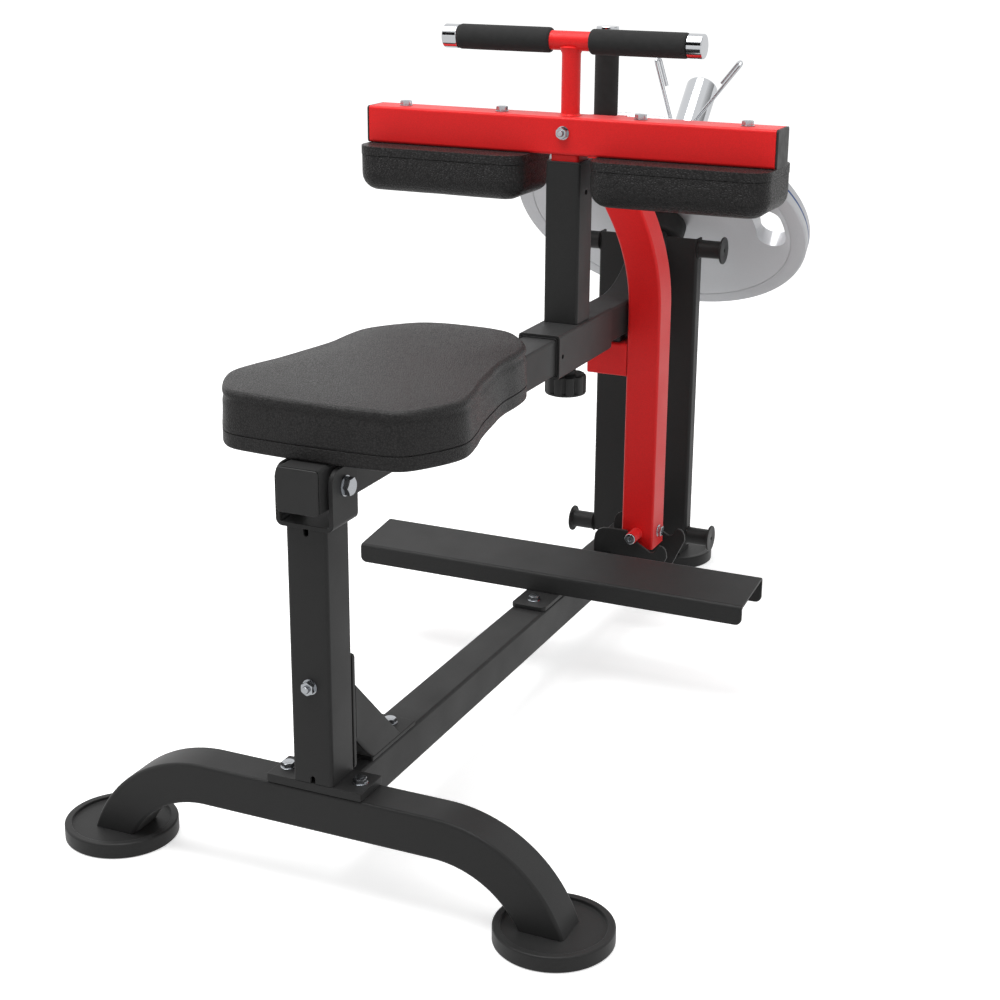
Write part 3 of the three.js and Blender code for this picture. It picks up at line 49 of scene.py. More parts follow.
# View
# The camera stands where the photograph was taken from: in front of the seat, to the right of the
# machine and above the knee pads. Its place was solved from the edges of the square tubes.
camera_data = bpy.data.cameras.new("camera")
camera_data.sensor_width = 36.0
camera_data.lens = 65.99
camera_data.dof.use_dof = False
camera_place = Vector((0.9367, -2.20883, 1.0877))
yaw, pitch, roll = math.radians(24.21), math.radians(18.64), math.radians(0.40)
ahead = Vector((-math.sin(yaw) * math.cos(pitch), math.cos(yaw) * math.cos(pitch), -math.sin(pitch)))
level_right = Vector((math.cos(yaw), math.sin(yaw), 0.0))
level_up = level_right.cross(ahead)
camera_right = level_right * math.cos(roll) + level_up * math.sin(roll)
camera_up = level_up * math.cos(roll) - level_right * math.sin(roll)
camera = bpy.data.objects.new("camera", camera_data)
camera.matrix_world = Matrix.Translation(camera_place) @ Matrix(
    (camera_right, camera_up, -ahead)).transposed().to_4x4()
scene.collection.objects.link(camera)
scene.camera = camera
scene.view_settings.view_transform = "Standard"


# Studio
# A plain pale floor and an even white surround, with one wide soft lamp overhead and a weaker one
# on the right. The surround is white to the eye and in reflections; its light is a little weaker.
def add_node(tree, kind, inputs=None, **settings):
    """Adds a node; inputs gives the value or the incoming socket of each named or numbered input."""
    node = tree.nodes.new(kind)
    for name, value in settings.items():
        setattr(node, name, value)
    for key, value in (inputs or {}).items():
        if isinstance(value, bpy.types.NodeSocket):
            tree.links.new(value, node.inputs[key])
        else:
            node.inputs[key].default_value = value
    return node


def hex_colour(code):
    """Turns an sRGB hex colour to the linear one that the shaders take."""
    parts = [int(code[index:index + 2], 16) / 255 for index in (1, 3, 5)]
    return tuple(p / 12.92 if p <= 0.04045 else ((p + 0.055) / 1.055) ** 2.4 for p in parts) + (1.0,)


def empty_material(name):
    """A material with no nodes yet, and its node tree."""
    material = bpy.data.materials.new(name)
    material.use_nodes = True
    material.node_tree.nodes.clear()
    return material, material.node_tree


def seen_ray(tree):
    """1 where the eye, a reflection or a clear body looks at the surround, 0 for its light."""
    path = add_node(tree, "ShaderNodeLightPath")
    either = add_node(tree, "ShaderNodeMath", {0: path.outputs["Is Camera Ray"],
                      1: path.outputs["Is Glossy Ray"]}, operation="MAXIMUM")
    return add_node(tree, "ShaderNodeMath", {0: either.outputs[0],
                    1: path.outputs["Is Transmission Ray"]}, operation="MAXIMUM").outputs[0]


surround_light = 0.60
world = bpy.data.worlds.new("surround")
world.use_nodes = True
world.node_tree.nodes.clear()
surround = add_node(world.node_tree, "ShaderNodeMapRange", {
    "Value": seen_ray(world.node_tree), "To Min": surround_light, "To Max": 1.0})
glow = add_node(world.node_tree, "ShaderNodeBackground", {
    "Color": hex_colour("#ffffff"), "Strength": surround.outputs[0]})
add_node(world.node_tree, "ShaderNodeOutputWorld", {"Surface": glow.outputs[0]})
scene.world = world

floor_reach, floor_drop = 30.0, 0.0005
floor_lift_light, floor_mirror_light = 0.56, 0.9
floor_paint, floor_tree = empty_material("pale floor paint")
floor_matt = add_node(floor_tree, "ShaderNodeBsdfDiffuse", {"Color": hex_colour("#f2f2f2")})
floor_path = add_node(floor_tree, "ShaderNodeLightPath")
floor_lift = add_node(floor_tree, "ShaderNodeMath", {
    0: floor_path.outputs["Is Camera Ray"], 1: floor_lift_light}, operation="MULTIPLY")
floor_glow = add_node(floor_tree, "ShaderNodeEmission", {
    "Color": hex_colour("#ffffff"), "Strength": floor_lift.outputs[0]})
floor_sum = add_node(floor_tree, "ShaderNodeAddShader", {
    0: floor_matt.outputs[0], 1: floor_glow.outputs[0]})
floor_mirrored = add_node(floor_tree, "ShaderNodeEmission", {
    "Color": hex_colour("#ffffff"), "Strength": floor_mirror_light})
floor_clear = add_node(floor_tree, "ShaderNodeMath", {
    0: floor_path.outputs["Is Glossy Ray"], 1: floor_path.outputs["Is Transmission Ray"]},
    operation="MAXIMUM")
floor_mix = add_node(floor_tree, "ShaderNodeMixShader", {
    0: floor_clear.outputs[0], 1: floor_sum.outputs[0], 2: floor_mirrored.outputs[0]})
add_node(floor_tree, "ShaderNodeOutputMaterial", {"Surface": floor_mix.outputs[0]})


def stage_face(name, corners, paint):
    """A painted face of the studio."""
    mesh = bpy.data.meshes.new(name)
    mesh.from_pydata(corners, [], [(0, 1, 2, 3)])
    mesh.materials.append(paint)
    face = bpy.data.objects.new(name, mesh)
    scene.collection.objects.link(face)
    return face


stage_face("floor", [(x * floor_reach, y * floor_reach, -floor_drop)
                     for x, y in ((-1, -1), (1, -1), (1, 1), (-1, 1))], floor_paint)


# Two cards, which only reflections see, give the plated parts their bands: a dark one behind the
# camera, and one on the right that falls from white to grey
def studio_card(name, corners, low_light, high_light):
    """A card whose light rises from its lower to its upper edge."""
    paint, tree = empty_material(name)
    spot = add_node(tree, "ShaderNodeTexCoord")
    height = add_node(tree, "ShaderNodeSeparateXYZ", {0: spot.outputs["Generated"]})
    light = add_node(tree, "ShaderNodeMapRange", {
        "Value": height.outputs["Z"], "To Min": low_light, "To Max": high_light})
    glow = add_node(tree, "ShaderNodeEmission", {
        "Color": hex_colour("#ffffff"), "Strength": light.outputs[0]})
    add_node(tree, "ShaderNodeOutputMaterial", {"Surface": glow.outputs[0]})
    card = stage_face(name, corners, paint)
    card.visible_diffuse = card.visible_shadow = card.visible_camera = False


dark_left, dark_right, dark_low, dark_high, dark_y = -4.5, 2.5, 1.7, 4.4, -4.6
studio_card("dark_card", [(dark_left, dark_y, dark_low), (dark_right, dark_y, dark_low),
                          (dark_right, dark_y, dark_high), (dark_left, dark_y, dark_high)], 0.01, 0.01)
grey_front, grey_rear, grey_low, grey_high, grey_x = -2.0, 4.5, 0.9, 5.5, 4.5
studio_card("grey_card", [(grey_x, grey_front, grey_low), (grey_x, grey_rear, grey_low),
                          (grey_x, grey_rear, grey_high), (grey_x, grey_front, grey_high)], 0.12, 0.95)

aim_height = 0.45
for name, place, size, power in (("overhead_lamp", (-0.4, -0.6, 3.2), 2.6, 88.0),
                                 ("right_lamp", (3.2, -0.4, 1.7), 1.8, 8.0)):
    lamp = bpy.data.lights.new(name, "AREA")
    lamp.shape = "DISK"
    lamp.size = size
    lamp.energy = power
    lamp_object = bpy.data.objects.new(name, lamp)
    aim = Vector((0.0, 0.0, aim_height)) - Vector(place)
    turn = aim.to_track_quat("-Z", "Y").to_matrix().to_4x4()
    lamp_object.matrix_world = Matrix.Translation(place) @ turn
    scene.collection.objects.link(lamp_object)


# Bent tubes of the frame
# The front cross foot and the long floor beam are 50 mm square steel tube, bent on a press and cut
# level where they stand on the floor discs, and coated with matt black powder.
def placed_material(name):
    """An empty material, its node tree and the socket that gives the place on the object."""
    material, tree = empty_material(name)
    return material, tree, add_node(tree, "ShaderNodeTexCoord").outputs["Object"]


def noise(tree, spot, scale, detail=2.0, rough=0.5):
    """The value of a noise over the object."""
    return add_node(tree, "ShaderNodeTexNoise", {
        "Vector": spot, "Scale": scale, "Detail": detail, "Roughness": rough}).outputs[0]


def spread(tree, value, low=0.0, high=1.0):
    """Spreads the middle values of a noise from low to high."""
    return add_node(tree, "ShaderNodeMapRange", {
        "Value": value, "From Min": 0.3, "From Max": 0.7, "To Min": low, "To Max": high}).outputs[0]


def two_tone(tree, share, colour, low, high=1.0):
    """A colour that goes with the share from low to high times the given one."""
    dark, light = (tuple(level * part for part in hex_colour(colour)[:3]) + (1.0,)
                   for level in (low, high))
    return add_node(tree, "ShaderNodeMix", {0: share, 6: dark, 7: light}, data_type="RGBA").outputs[2]


def finished(material, tree, height, depth, look):
    """Ends a material: a relief of this depth, in metres, on a surface that looks so."""
    bump = add_node(tree, "ShaderNodeBump", {"Height": height, "Strength": 1.0, "Distance": depth})
    shader = add_node(tree, "ShaderNodeBsdfPrincipled", {**look, "Normal": bump.outputs[0]})
    add_node(tree, "ShaderNodeOutputMaterial", {"Surface": shader.outputs[0]})
    return material


def grained_paint(name, colour, grain, depth, smooth, rough, specular):
    """Paint with a fine grain: grain is its size and depth its height, in metres; smooth and rough
    are the least and the most roughness that the grain gives."""
    material, tree, spot = placed_material(name)
    fine = noise(tree, spot, 1 / grain, 3.0, 0.6)
    wide = noise(tree, spot, 1 / (60 * grain))
    tint = two_tone(tree, spread(tree, fine), colour, 0.8)
    return finished(material, tree, fine, depth, {
        "Base Color": tint, "Roughness": spread(tree, wide, smooth, rough),
        "Specular IOR Level": specular, "Sheen Weight": 0.10, "Sheen Roughness": 0.45})


# Polyester powder coat leaves a fine matt grain, drawn at 1.2 mm because the real 0.3 mm is too
# fine to show
black_coat = grained_paint("black powder coat", "#282828", 0.0012, 0.00006, 0.40, 0.50, 0.18)


def add_object(name, mesh):
    """Links a new object of this mesh to the scene."""
    made = bpy.data.objects.new(name, mesh)
    scene.collection.objects.link(made)
    return made


def settle(made):
    """Gives the object the mesh that its modifiers make, and removes them."""
    graph = bpy.context.evaluated_depsgraph_get()
    mesh = bpy.data.meshes.new_from_object(
        made.evaluated_get(graph), preserve_all_data_layers=True, depsgraph=graph)
    made.modifiers.clear()
    made.data = mesh
    return made


def smooth_off(made, crease=50):
    """Shades curved faces smooth, keeps flat faces flat and edges over the crease angle sharp."""
    made.data.shade_smooth()
    made.data.set_sharp_from_angle(angle=math.radians(crease))
    weigh = made.modifiers.new("even flats", "WEIGHTED_NORMAL")
    weigh.keep_sharp = True
    return settle(made)


def round_edges(made, width, crease):
    """Rounds the edges over the crease angle."""
    bevel = made.modifiers.new("edges", "BEVEL")
    bevel.width, bevel.segments = width, 2
    bevel.limit_method, bevel.angle_limit = "ANGLE", math.radians(crease)
    settle(made)


def solid_piece(name, shell, material, edge=0.0, crease=50):
    """Makes a piece of a closed mesh, with its edges rounded to the radius edge."""
    bmesh.ops.recalc_face_normals(shell, faces=shell.faces)
    mesh = bpy.data.meshes.new(name)
    shell.to_mesh(mesh)
    shell.free()
    mesh.materials.append(material)
    made = add_object(name, mesh)
    if edge:
        round_edges(made, edge, crease)
    return smooth_off(made, crease)


def dress(made, body, slot, *nodes):
    """The piece rides on its body and stands for these CAD nodes, which it hides; slot is not used."""
    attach(made, body)
    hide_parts(*nodes)
    return made


def named_tree(name, *wanted):
    """A geometry tree with a geometry input and output and these named inputs."""
    tree = bpy.data.node_groups.new(name, "GeometryNodeTree")
    tree.interface.new_socket("Geometry", in_out="INPUT", socket_type="NodeSocketGeometry")
    for label, kind in wanted:
        tree.interface.new_socket(label, in_out="INPUT", socket_type=kind)
    tree.interface.new_socket("Geometry", in_out="OUTPUT", socket_type="NodeSocketGeometry")
    return tree, add_node(tree, "NodeGroupInput")


def run_tree(made, tree, **values):
    """Runs a geometry tree on the object with these inputs and keeps the mesh that it makes."""
    grow = made.modifiers.new(tree.name, "NODES")
    grow.node_group = tree
    for item in tree.interface.items_tree:
        label = item.name.replace(" ", "_").lower()
        if item.in_out == "INPUT" and label in values:
            grow[item.identifier] = values[label]
    return settle(made)


def end_tree(tree, shape, finish):
    """Ends a geometry tree: real copies of the shape, with their finish."""
    whole = add_node(tree, "GeometryNodeRealizeInstances", {"Geometry": shape})
    coat = add_node(tree, "GeometryNodeSetMaterial", {"Geometry": whole.outputs[0], "Material": finish})
    add_node(tree, "NodeGroupOutput", {"Geometry": coat.outputs[0]})


# A square tube with rounded corners follows a path of edges
tube_tree, tube_in = named_tree("square tube along a path", ("Side", "NodeSocketFloat"),
                                ("Corner", "NodeSocketFloat"), ("Finish", "NodeSocketMaterial"))
tube_path = add_node(tube_tree, "GeometryNodeMeshToCurve", {"Mesh": tube_in.outputs["Geometry"]})
tube_square = add_node(tube_tree, "GeometryNodeCurvePrimitiveQuadrilateral", {
    "Width": tube_in.outputs["Side"], "Height": tube_in.outputs["Side"]})
tube_profile = add_node(tube_tree, "GeometryNodeFilletCurve", {
    "Curve": tube_square.outputs[0], "Radius": tube_in.outputs["Corner"], "Count": 4}, mode="POLY")
tube_skin = add_node(tube_tree, "GeometryNodeCurveToMesh", {
    "Curve": tube_path.outputs[0], "Profile Curve": tube_profile.outputs[0], "Fill Caps": True})
end_tree(tube_tree, tube_skin.outputs[0], tube_in.outputs["Finish"])

tube_side = 0.050
tube_corner = 0.004
bend_step = math.radians(2.5)


def bent_path(start, heading, moves):
    """Points of a path bent in one plane: a move is a run, or a turn and its radius."""
    spot = Vector(start)
    points = [spot.copy()]
    for run, turn, radius in moves:
        if run:
            spot += run * Vector((math.cos(heading), math.sin(heading)))
            points.append(spot.copy())
        steps = math.ceil(abs(turn) / bend_step)
        reach = math.copysign(radius, turn)
        centre = spot + reach * Vector((-math.sin(heading), math.cos(heading)))
        for _ in range(steps):
            heading += turn / steps
            spot = centre + reach * Vector((math.sin(heading), -math.cos(heading)))
            points.append(spot.copy())
    return points


def grown(name, points, tree, **values):
    """The mesh that a tree grows along the points, with its doubles merged."""
    mesh = bpy.data.meshes.new(name)
    mesh.from_pydata(points, [(index, index + 1) for index in range(len(points) - 1)], [])
    made = run_tree(add_object(name, mesh), tree, **values)
    shell = bmesh.new()
    shell.from_mesh(made.data)
    bpy.data.objects.remove(made)
    bmesh.ops.remove_doubles(shell, verts=shell.verts, dist=1e-6)
    return shell


def square_tube(name, points, material, cuts=()):
    """A square tube along the points; each cut is a place and a direction, beyond which it ends."""
    shell = grown(name, points, tube_tree, side=tube_side, corner=tube_corner, finish=material)
    for place, away in cuts:
        cut = bmesh.ops.bisect_plane(shell, geom=shell.verts[:] + shell.edges[:] + shell.faces[:],
                                     plane_co=place, plane_no=away, clear_outer=True)
        rim = [item for item in cut["geom_cut"] if isinstance(item, bmesh.types.BMEdge)]
        bmesh.ops.contextual_create(shell, geom=rim)
    return solid_piece(name, shell, material, crease=35)


def box_middle(node):
    """The middle of the node's box."""
    return [(low + high) / 2 for low, high in zip(*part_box(node))]


pivot_y, pivot_z = box_middle("pivot_bolt")[1:]
foot_bend = 0.140
arch_run = 0.292
beam_axis = 0.102
quarter = math.pi / 2
down = Vector((0.0, 0.0, -1.0))

arch_foot_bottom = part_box("arch_foot")[0][2]
arch_points = bent_path((-arch_run / 2 - foot_bend, beam_axis - foot_bend), quarter,
                        [(0, -quarter, foot_bend), (arch_run, -quarter, foot_bend)])
dress(square_tube("arch_foot_tube", [(x, pivot_y, z) for x, z in arch_points], black_coat,
                  [((0, 0, arch_foot_bottom), down)]), "frame", "black_powder_coat", "arch_foot")

beam_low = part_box("base_tube")[0]
beam_straight_end = 1.055
beam_points = bent_path((beam_low[1], beam_axis), 0.0, [
    (pivot_y + beam_straight_end - beam_low[1], -quarter, foot_bend)])
dress(square_tube("floor_beam", [(0, y, z) for y, z in beam_points], black_coat,
                  [((0, 0, beam_low[2]), down)]), "frame", "black_powder_coat", "base_tube")


# Floor discs
# Three 135 mm pressed steel dishes, welded under the ends of the tubes and coated with them. Each
# has a flat rim that stands 4 mm above its floor, rounded on the outside.
def skin(shell, rows):
    """Adds a closed body of rows of points, with an end face on its first and its last row."""
    rows = [[shell.verts.new(point) for point in row] for row in rows]
    for low, high in zip(rows, rows[1:]):
        for index in range(len(low)):
            after = (index + 1) % len(low)
            shell.faces.new((low[index], low[after], high[after], high[index]))
    shell.faces.new(rows[0][::-1])
    shell.faces.new(rows[-1])


def turned(shell, profile, sides, place=Matrix()):
    """Adds a body of revolution about Z: a profile of radii and heights, closed through the axis
    or, where it doesn't touch the axis, on itself."""
    rows = []
    for radius, height in profile:
        count = sides if radius else 1
        rows.append([shell.verts.new(place @ Vector((
            radius * math.cos(2 * math.pi * index / sides),
            radius * math.sin(2 * math.pi * index / sides), height))) for index in range(count)])
    if profile[0][0]:
        rows.append(rows[0])
    for low, high in zip(rows, rows[1:]):
        for index in range(sides):
            after = (index + 1) % sides
            corners = (low[index % len(low)], low[after % len(low)],
                       high[after % len(high)], high[index % len(high)])
            if len(set(corners)) > 2:
                shell.faces.new(list(dict.fromkeys(corners)))


def rod(shell, radius, low, high, sides, place=Matrix(), bore=0):
    """Adds a plain length of round bar, or of tube where it has a bore."""
    turned(shell, [(bore, low), (radius, low), (radius, high), (bore, high)], sides, place)


def arc(centre, radius, start, end, steps):
    """Points of an arc of a profile, in degrees from start to end."""
    return [(centre[0] + radius * math.cos(math.radians(start + (end - start) * step / steps)),
             centre[1] + radius * math.sin(math.radians(start + (end - start) * step / steps)))
            for step in range(steps + 1)]


# Copies of one mesh stand on points, each turned as its point's attribute says
copy_tree, copy_in = named_tree("copies on points", ("Unit", "NodeSocketObject"),
                                ("Finish", "NodeSocketMaterial"))
copy_points = add_node(copy_tree, "GeometryNodeMeshToPoints", {"Mesh": copy_in.outputs["Geometry"]})
copy_unit = add_node(copy_tree, "GeometryNodeObjectInfo", {"Object": copy_in.outputs["Unit"]})
copy_turn = add_node(copy_tree, "GeometryNodeInputNamedAttribute", {"Name": "turn"},
                     data_type="FLOAT_VECTOR")
copy_rotation = add_node(copy_tree, "FunctionNodeEulerToRotation", {0: copy_turn.outputs["Attribute"]})
copy_all = add_node(copy_tree, "GeometryNodeInstanceOnPoints", {
    "Points": copy_points.outputs[0], "Instance": copy_unit.outputs["Geometry"],
    "Rotation": copy_rotation.outputs[0]})
end_tree(copy_tree, copy_all.outputs[0], copy_in.outputs["Finish"])


def copies(name, unit, places, material, crease=40):
    """One object with a copy of the unit at each place, which is a matrix."""
    mesh = bpy.data.meshes.new(name)
    mesh.from_pydata([place.translation for place in places], [], [])
    turns = mesh.attributes.new("turn", "FLOAT_VECTOR", "POINT")
    for index, place in enumerate(places):
        turns.data[index].vector = place.to_euler()
    made = run_tree(add_object(name, mesh), copy_tree, unit=unit, finish=material)
    return smooth_off(made, crease)


def unit_of(name, shell, material, **edges):
    """A unit for copies: it isn't shown itself."""
    unit = solid_piece(name, shell, material, **edges)
    scene.collection.objects.unlink(unit)
    return unit


disc_radius, disc_height = 0.0675, 0.019
disc_rim, disc_recess, disc_edge = 0.009, 0.004, 0.0025
disc_floor = disc_height - disc_recess
disc_inner = disc_radius - disc_rim
disc_shell = bmesh.new()
turned(disc_shell, [(0, 0), (disc_radius - disc_edge / 2, 0), (disc_radius, disc_edge / 2)]
       + arc((disc_radius - disc_edge, disc_height - disc_edge), disc_edge, 0, 90, 5)
       + arc((disc_inner + disc_edge / 2, disc_height - disc_edge / 2), disc_edge / 2, 90, 180, 3)
       + arc((disc_inner - disc_edge / 2, disc_floor + disc_edge / 2), disc_edge / 2, 0, -90, 3)
       + [(0, disc_floor)], 96)
disc_unit = unit_of("disc_unit", disc_shell, black_coat)
disc_nodes = ("foot_disc_left", "foot_disc_right", "foot_disc_rear")
disc_places = [Matrix.Translation((*box_middle(node)[:2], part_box(node)[0][2])) for node in disc_nodes]
dress(copies("floor_discs", disc_unit, disc_places, black_coat), "frame", "black_rubber", *disc_nodes)


# Front upright, its base plate and the pivot bracket
# A straight 50 mm tube with a drain slot at each end stands on a 10 mm plate and carries a U bracket
# bent from 5 mm sheet. All are steel, welded and coated; the softened edges are those of the sheet.
def cad_copy(node):
    """The node's mesh with its doubles merged and its flat faces joined."""
    shell = bmesh.new()
    shell.from_mesh(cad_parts[node].data)
    bmesh.ops.remove_doubles(shell, verts=shell.verts, dist=2e-6)
    bmesh.ops.dissolve_limit(shell, angle_limit=math.radians(0.5), verts=shell.verts, edges=shell.edges)
    return shell


def rounded_outline(low, high, corner, steps):
    """A rectangle with rounded corners, seen from above."""
    outline = []
    for index, (side_x, side_y) in enumerate(((1, 1), (-1, 1), (-1, -1), (1, -1))):
        middle = ((high[0] if side_x > 0 else low[0]) - side_x * corner,
                  (high[1] if side_y > 0 else low[1]) - side_y * corner)
        outline += arc(middle, corner, 90 * index, 90 * index + 90, steps)
    return outline


def rounded_slab(shell, low, high, corner, steps=8):
    """Adds an upright block whose outline, seen from above, has rounded corners."""
    outline = rounded_outline(low, high, corner, steps)
    skin(shell, [[(x, y, z) for x, y in outline] for z in (low[2], high[2])])


sheet_edge = 0.0008
for node, name in (("front_upright", "front_upright_tube"), ("pivot_bracket", "pivot_bracket_sheet"),
                   ("brace_mount_plate", "brace_mount"), ("brace_tube", "brace"),
                   ("catch_plate_front", "cradle_front"), ("catch_plate_rear", "cradle_rear"),
                   ("rear_panel", "rear_panel_sheet"), ("foot_plate", "toe_channel")):
    dress(solid_piece(name, cad_copy(node), black_coat, sheet_edge), "frame", "black_powder_coat", node)

base_plate_thickness = 0.010
toe_plate_thickness = 0.005
bracket_plate_thickness = 0.006
beam_top = 0.127
fit_gap = 0.0003
plate_bottom = beam_top + fit_gap
for name, node, thickness, corner in (("base_plate", "upright_base_plate", base_plate_thickness, 0.002),
                                      ("brace_toe", "brace_toe_plate", toe_plate_thickness, 0.002),
                                      ("toe_channel_plate", "foot_bracket_plate", bracket_plate_thickness,
                                       0.008)):
    low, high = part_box(node)
    plate_shell = bmesh.new()
    rounded_slab(plate_shell, (low[0], low[1], plate_bottom),
                 (high[0], high[1], plate_bottom + thickness), corner)
    dress(solid_piece(name, plate_shell, black_coat, sheet_edge), "frame", "black_powder_coat", node)


# Bolts of the frame
# Zinc plated flange bolts with heads 14 mm across, their nuts with the thread's end standing out, and
# the pivot bolt with 18 mm heads. The heads are forged with a 30 degree chamfer on their corners.
def bright_metal(name, colour, smooth, rough, grain):
    """Plated steel: grain is the size, in metres, of the faint cloudiness of its polish."""
    material, tree, spot = placed_material(name)
    cloud = noise(tree, spot, 1 / grain, 4.0)
    return finished(material, tree, cloud, grain / 300, {
        "Base Color": hex_colour(colour), "Metallic": 1.0,
        "Roughness": spread(tree, cloud, smooth, rough)})


# Clear zinc is a soft grey mirror, a little cloudy from the bath
zinc = bright_metal("bright zinc plate", "#b4b7bb", 0.16, 0.24, 0.006)


def hexagon(shell, across, height, place, sides=48):
    """Adds a hexagon head whose corners are turned off at 30 degrees."""
    flat = across / 2
    lean = math.tan(math.radians(30))
    rows = [[], [], []]
    for index in range(sides):
        angle = 2 * math.pi * index / sides
        radius = flat / math.cos((angle + math.pi / 6) % (math.pi / 3) - math.pi / 6)
        top = 0.94 * flat
        for row, (reach, rise) in zip(rows, ((radius, 0.0), (radius, height - (radius - top) * lean),
                                             (top, height))):
            row.append(place @ Vector((reach * math.cos(angle), reach * math.sin(angle), rise)))
    skin(shell, rows)


def thread(shell, radius, pitch, low, high, place):
    """Adds a length of thread, as ridges, with a turned end."""
    profile = [(0, low), (radius, low)]
    count = max(1, round((high - low) / pitch))
    for index in range(count):
        base = low + (high - low) * index / count
        profile += [(radius, base + 0.25 * pitch), (radius - 0.5 * pitch, base + 0.75 * pitch)]
    turned(shell, profile + [(radius - 0.5 * pitch, high), (0, high)], 24, place)


bolt_across, head_height = 0.014, 0.0060
flange_radius, flange_thickness = 0.0090, 0.0014
nut_height, thread_radius, thread_pitch, thread_show = 0.0070, 0.0042, 0.0013, 0.0035
flange_profile = [(0, 0), (flange_radius, 0), (flange_radius, flange_thickness * 0.4),
                  (flange_radius * 0.8, flange_thickness), (0, flange_thickness)]

bolt_shell = bmesh.new()
turned(bolt_shell, flange_profile, 48)
hexagon(bolt_shell, bolt_across, head_height, Matrix.Translation((0, 0, flange_thickness * 0.5)))
rod(bolt_shell, bolt_across * 0.3, head_height, head_height + flange_thickness * 0.6, 32)
bolt_unit = unit_of("bolt_unit", bolt_shell, zinc, crease=35)

nut_shell = bmesh.new()
rod(nut_shell, flange_radius, 0, flange_thickness, 48)
hexagon(nut_shell, bolt_across, nut_height, Matrix.Translation((0, 0, flange_thickness)))
thread(nut_shell, thread_radius, thread_pitch, flange_thickness + nut_height - thread_pitch,
       flange_thickness + nut_height + thread_show, Matrix())
nut_unit = unit_of("nut_unit", nut_shell, zinc, crease=35)

facing_front = Matrix.Rotation(quarter, 4, "X")
facing_rear = Matrix.Rotation(-quarter, 4, "X")
facing_right = Matrix.Rotation(quarter, 4, "Y")
facing_left = Matrix.Rotation(-quarter, 4, "Y")


def both_at(x, y, z):
    """The places on the left and the right, each facing outwards."""
    return [Matrix.Translation((side * x, y, z)) @ turn
            for side, turn in ((-1, facing_left), (1, facing_right))]


plate_bolt = 0.046
bracket_low, bracket_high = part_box("foot_bracket_plate")
bracket_inset = 0.024
toe_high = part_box("brace_toe_plate")[1]
toe_inset = 0.019
frame_bolts = [Matrix.Translation((x, pivot_y, plate_bottom + base_plate_thickness))
               for x in (-plate_bolt, plate_bolt)]
frame_bolts += [Matrix.Translation((0, y, plate_bottom + bracket_plate_thickness))
                for y in (bracket_low[1] + bracket_inset, bracket_high[1] - bracket_inset)]
frame_bolts += [Matrix.Translation((0, toe_high[1] - toe_inset, plate_bottom + toe_plate_thickness))]
dress(copies("flange_bolts", bolt_unit, frame_bolts, zinc), "frame", "zinc_plate",
      "upright_base_plate", "foot_bracket_plate", "brace_toe_plate")

upright_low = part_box("front_upright")[0]
mount_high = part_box("brace_mount_plate")[1]
bolt_height = box_middle("upright_bolt")[2]
dress(copies("upright_nuts", nut_unit, [
    Matrix.Translation((0, upright_low[1], bolt_height)) @ facing_front,
    Matrix.Translation((0, mount_high[1], bolt_height)) @ facing_rear], zinc),
    "frame", "zinc_plate", "upright_bolt")

pivot_across, pivot_head, pivot_washer, pivot_shank = 0.018, 0.008, 0.0115, 0.008
pivot_shell = bmesh.new()
bracket_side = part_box("pivot_bracket")[1][0]
for seat in both_at(bracket_side, pivot_y, pivot_z):
    rod(pivot_shell, pivot_washer, 0, flange_thickness, 48, seat)
    hexagon(pivot_shell, pivot_across, pivot_head,
            seat @ Matrix.Translation((0, 0, flange_thickness)))
rod(pivot_shell, pivot_shank, -bracket_side, bracket_side, 32,
    Matrix.Translation((0, pivot_y, pivot_z)) @ facing_right)
dress(solid_piece("pivot_bolt_and_nut", pivot_shell, zinc, crease=35), "frame", "zinc_plate", "pivot_bolt")


# Pegs of the rear panel
# Four short steel pegs with a flange, for elastic bands, welded to the panel's sides and coated.
peg_radius, peg_length, peg_flange, peg_rim = 0.0135, 0.036, 0.0205, 0.003
peg_hole, peg_hole_depth, peg_edge = 0.003, 0.010, 0.0008
peg_shell = bmesh.new()
turned(peg_shell, [(0, 0), (peg_radius + 0.002, 0), (peg_radius, 0.002), (peg_radius, peg_length - 0.002)]
       + arc((peg_radius + 0.002, peg_length - 0.002), 0.002, 180, 90, 4)
       + arc((peg_flange - peg_edge, peg_length + peg_edge), peg_edge, -90, 0, 3)
       + arc((peg_flange - peg_edge, peg_length + peg_rim - peg_edge), peg_edge, 0, 90, 3)
       + [(peg_hole, peg_length + peg_rim), (peg_hole, peg_length + peg_rim - peg_hole_depth),
          (0, peg_length + peg_rim - peg_hole_depth)], 48)
peg_unit = unit_of("peg_unit", peg_shell, black_coat)
peg_places = []
panel_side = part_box("rear_panel")[1][0]
for row in ("upper", "lower"):
    peg_places += both_at(panel_side, *box_middle(f"band_peg_{row}_right")[1:])
dress(copies("band_pegs", peg_unit, peg_places, black_coat), "frame", "black_powder_coat",
      "band_peg_upper_left", "band_peg_upper_right", "band_peg_lower_left", "band_peg_lower_right")


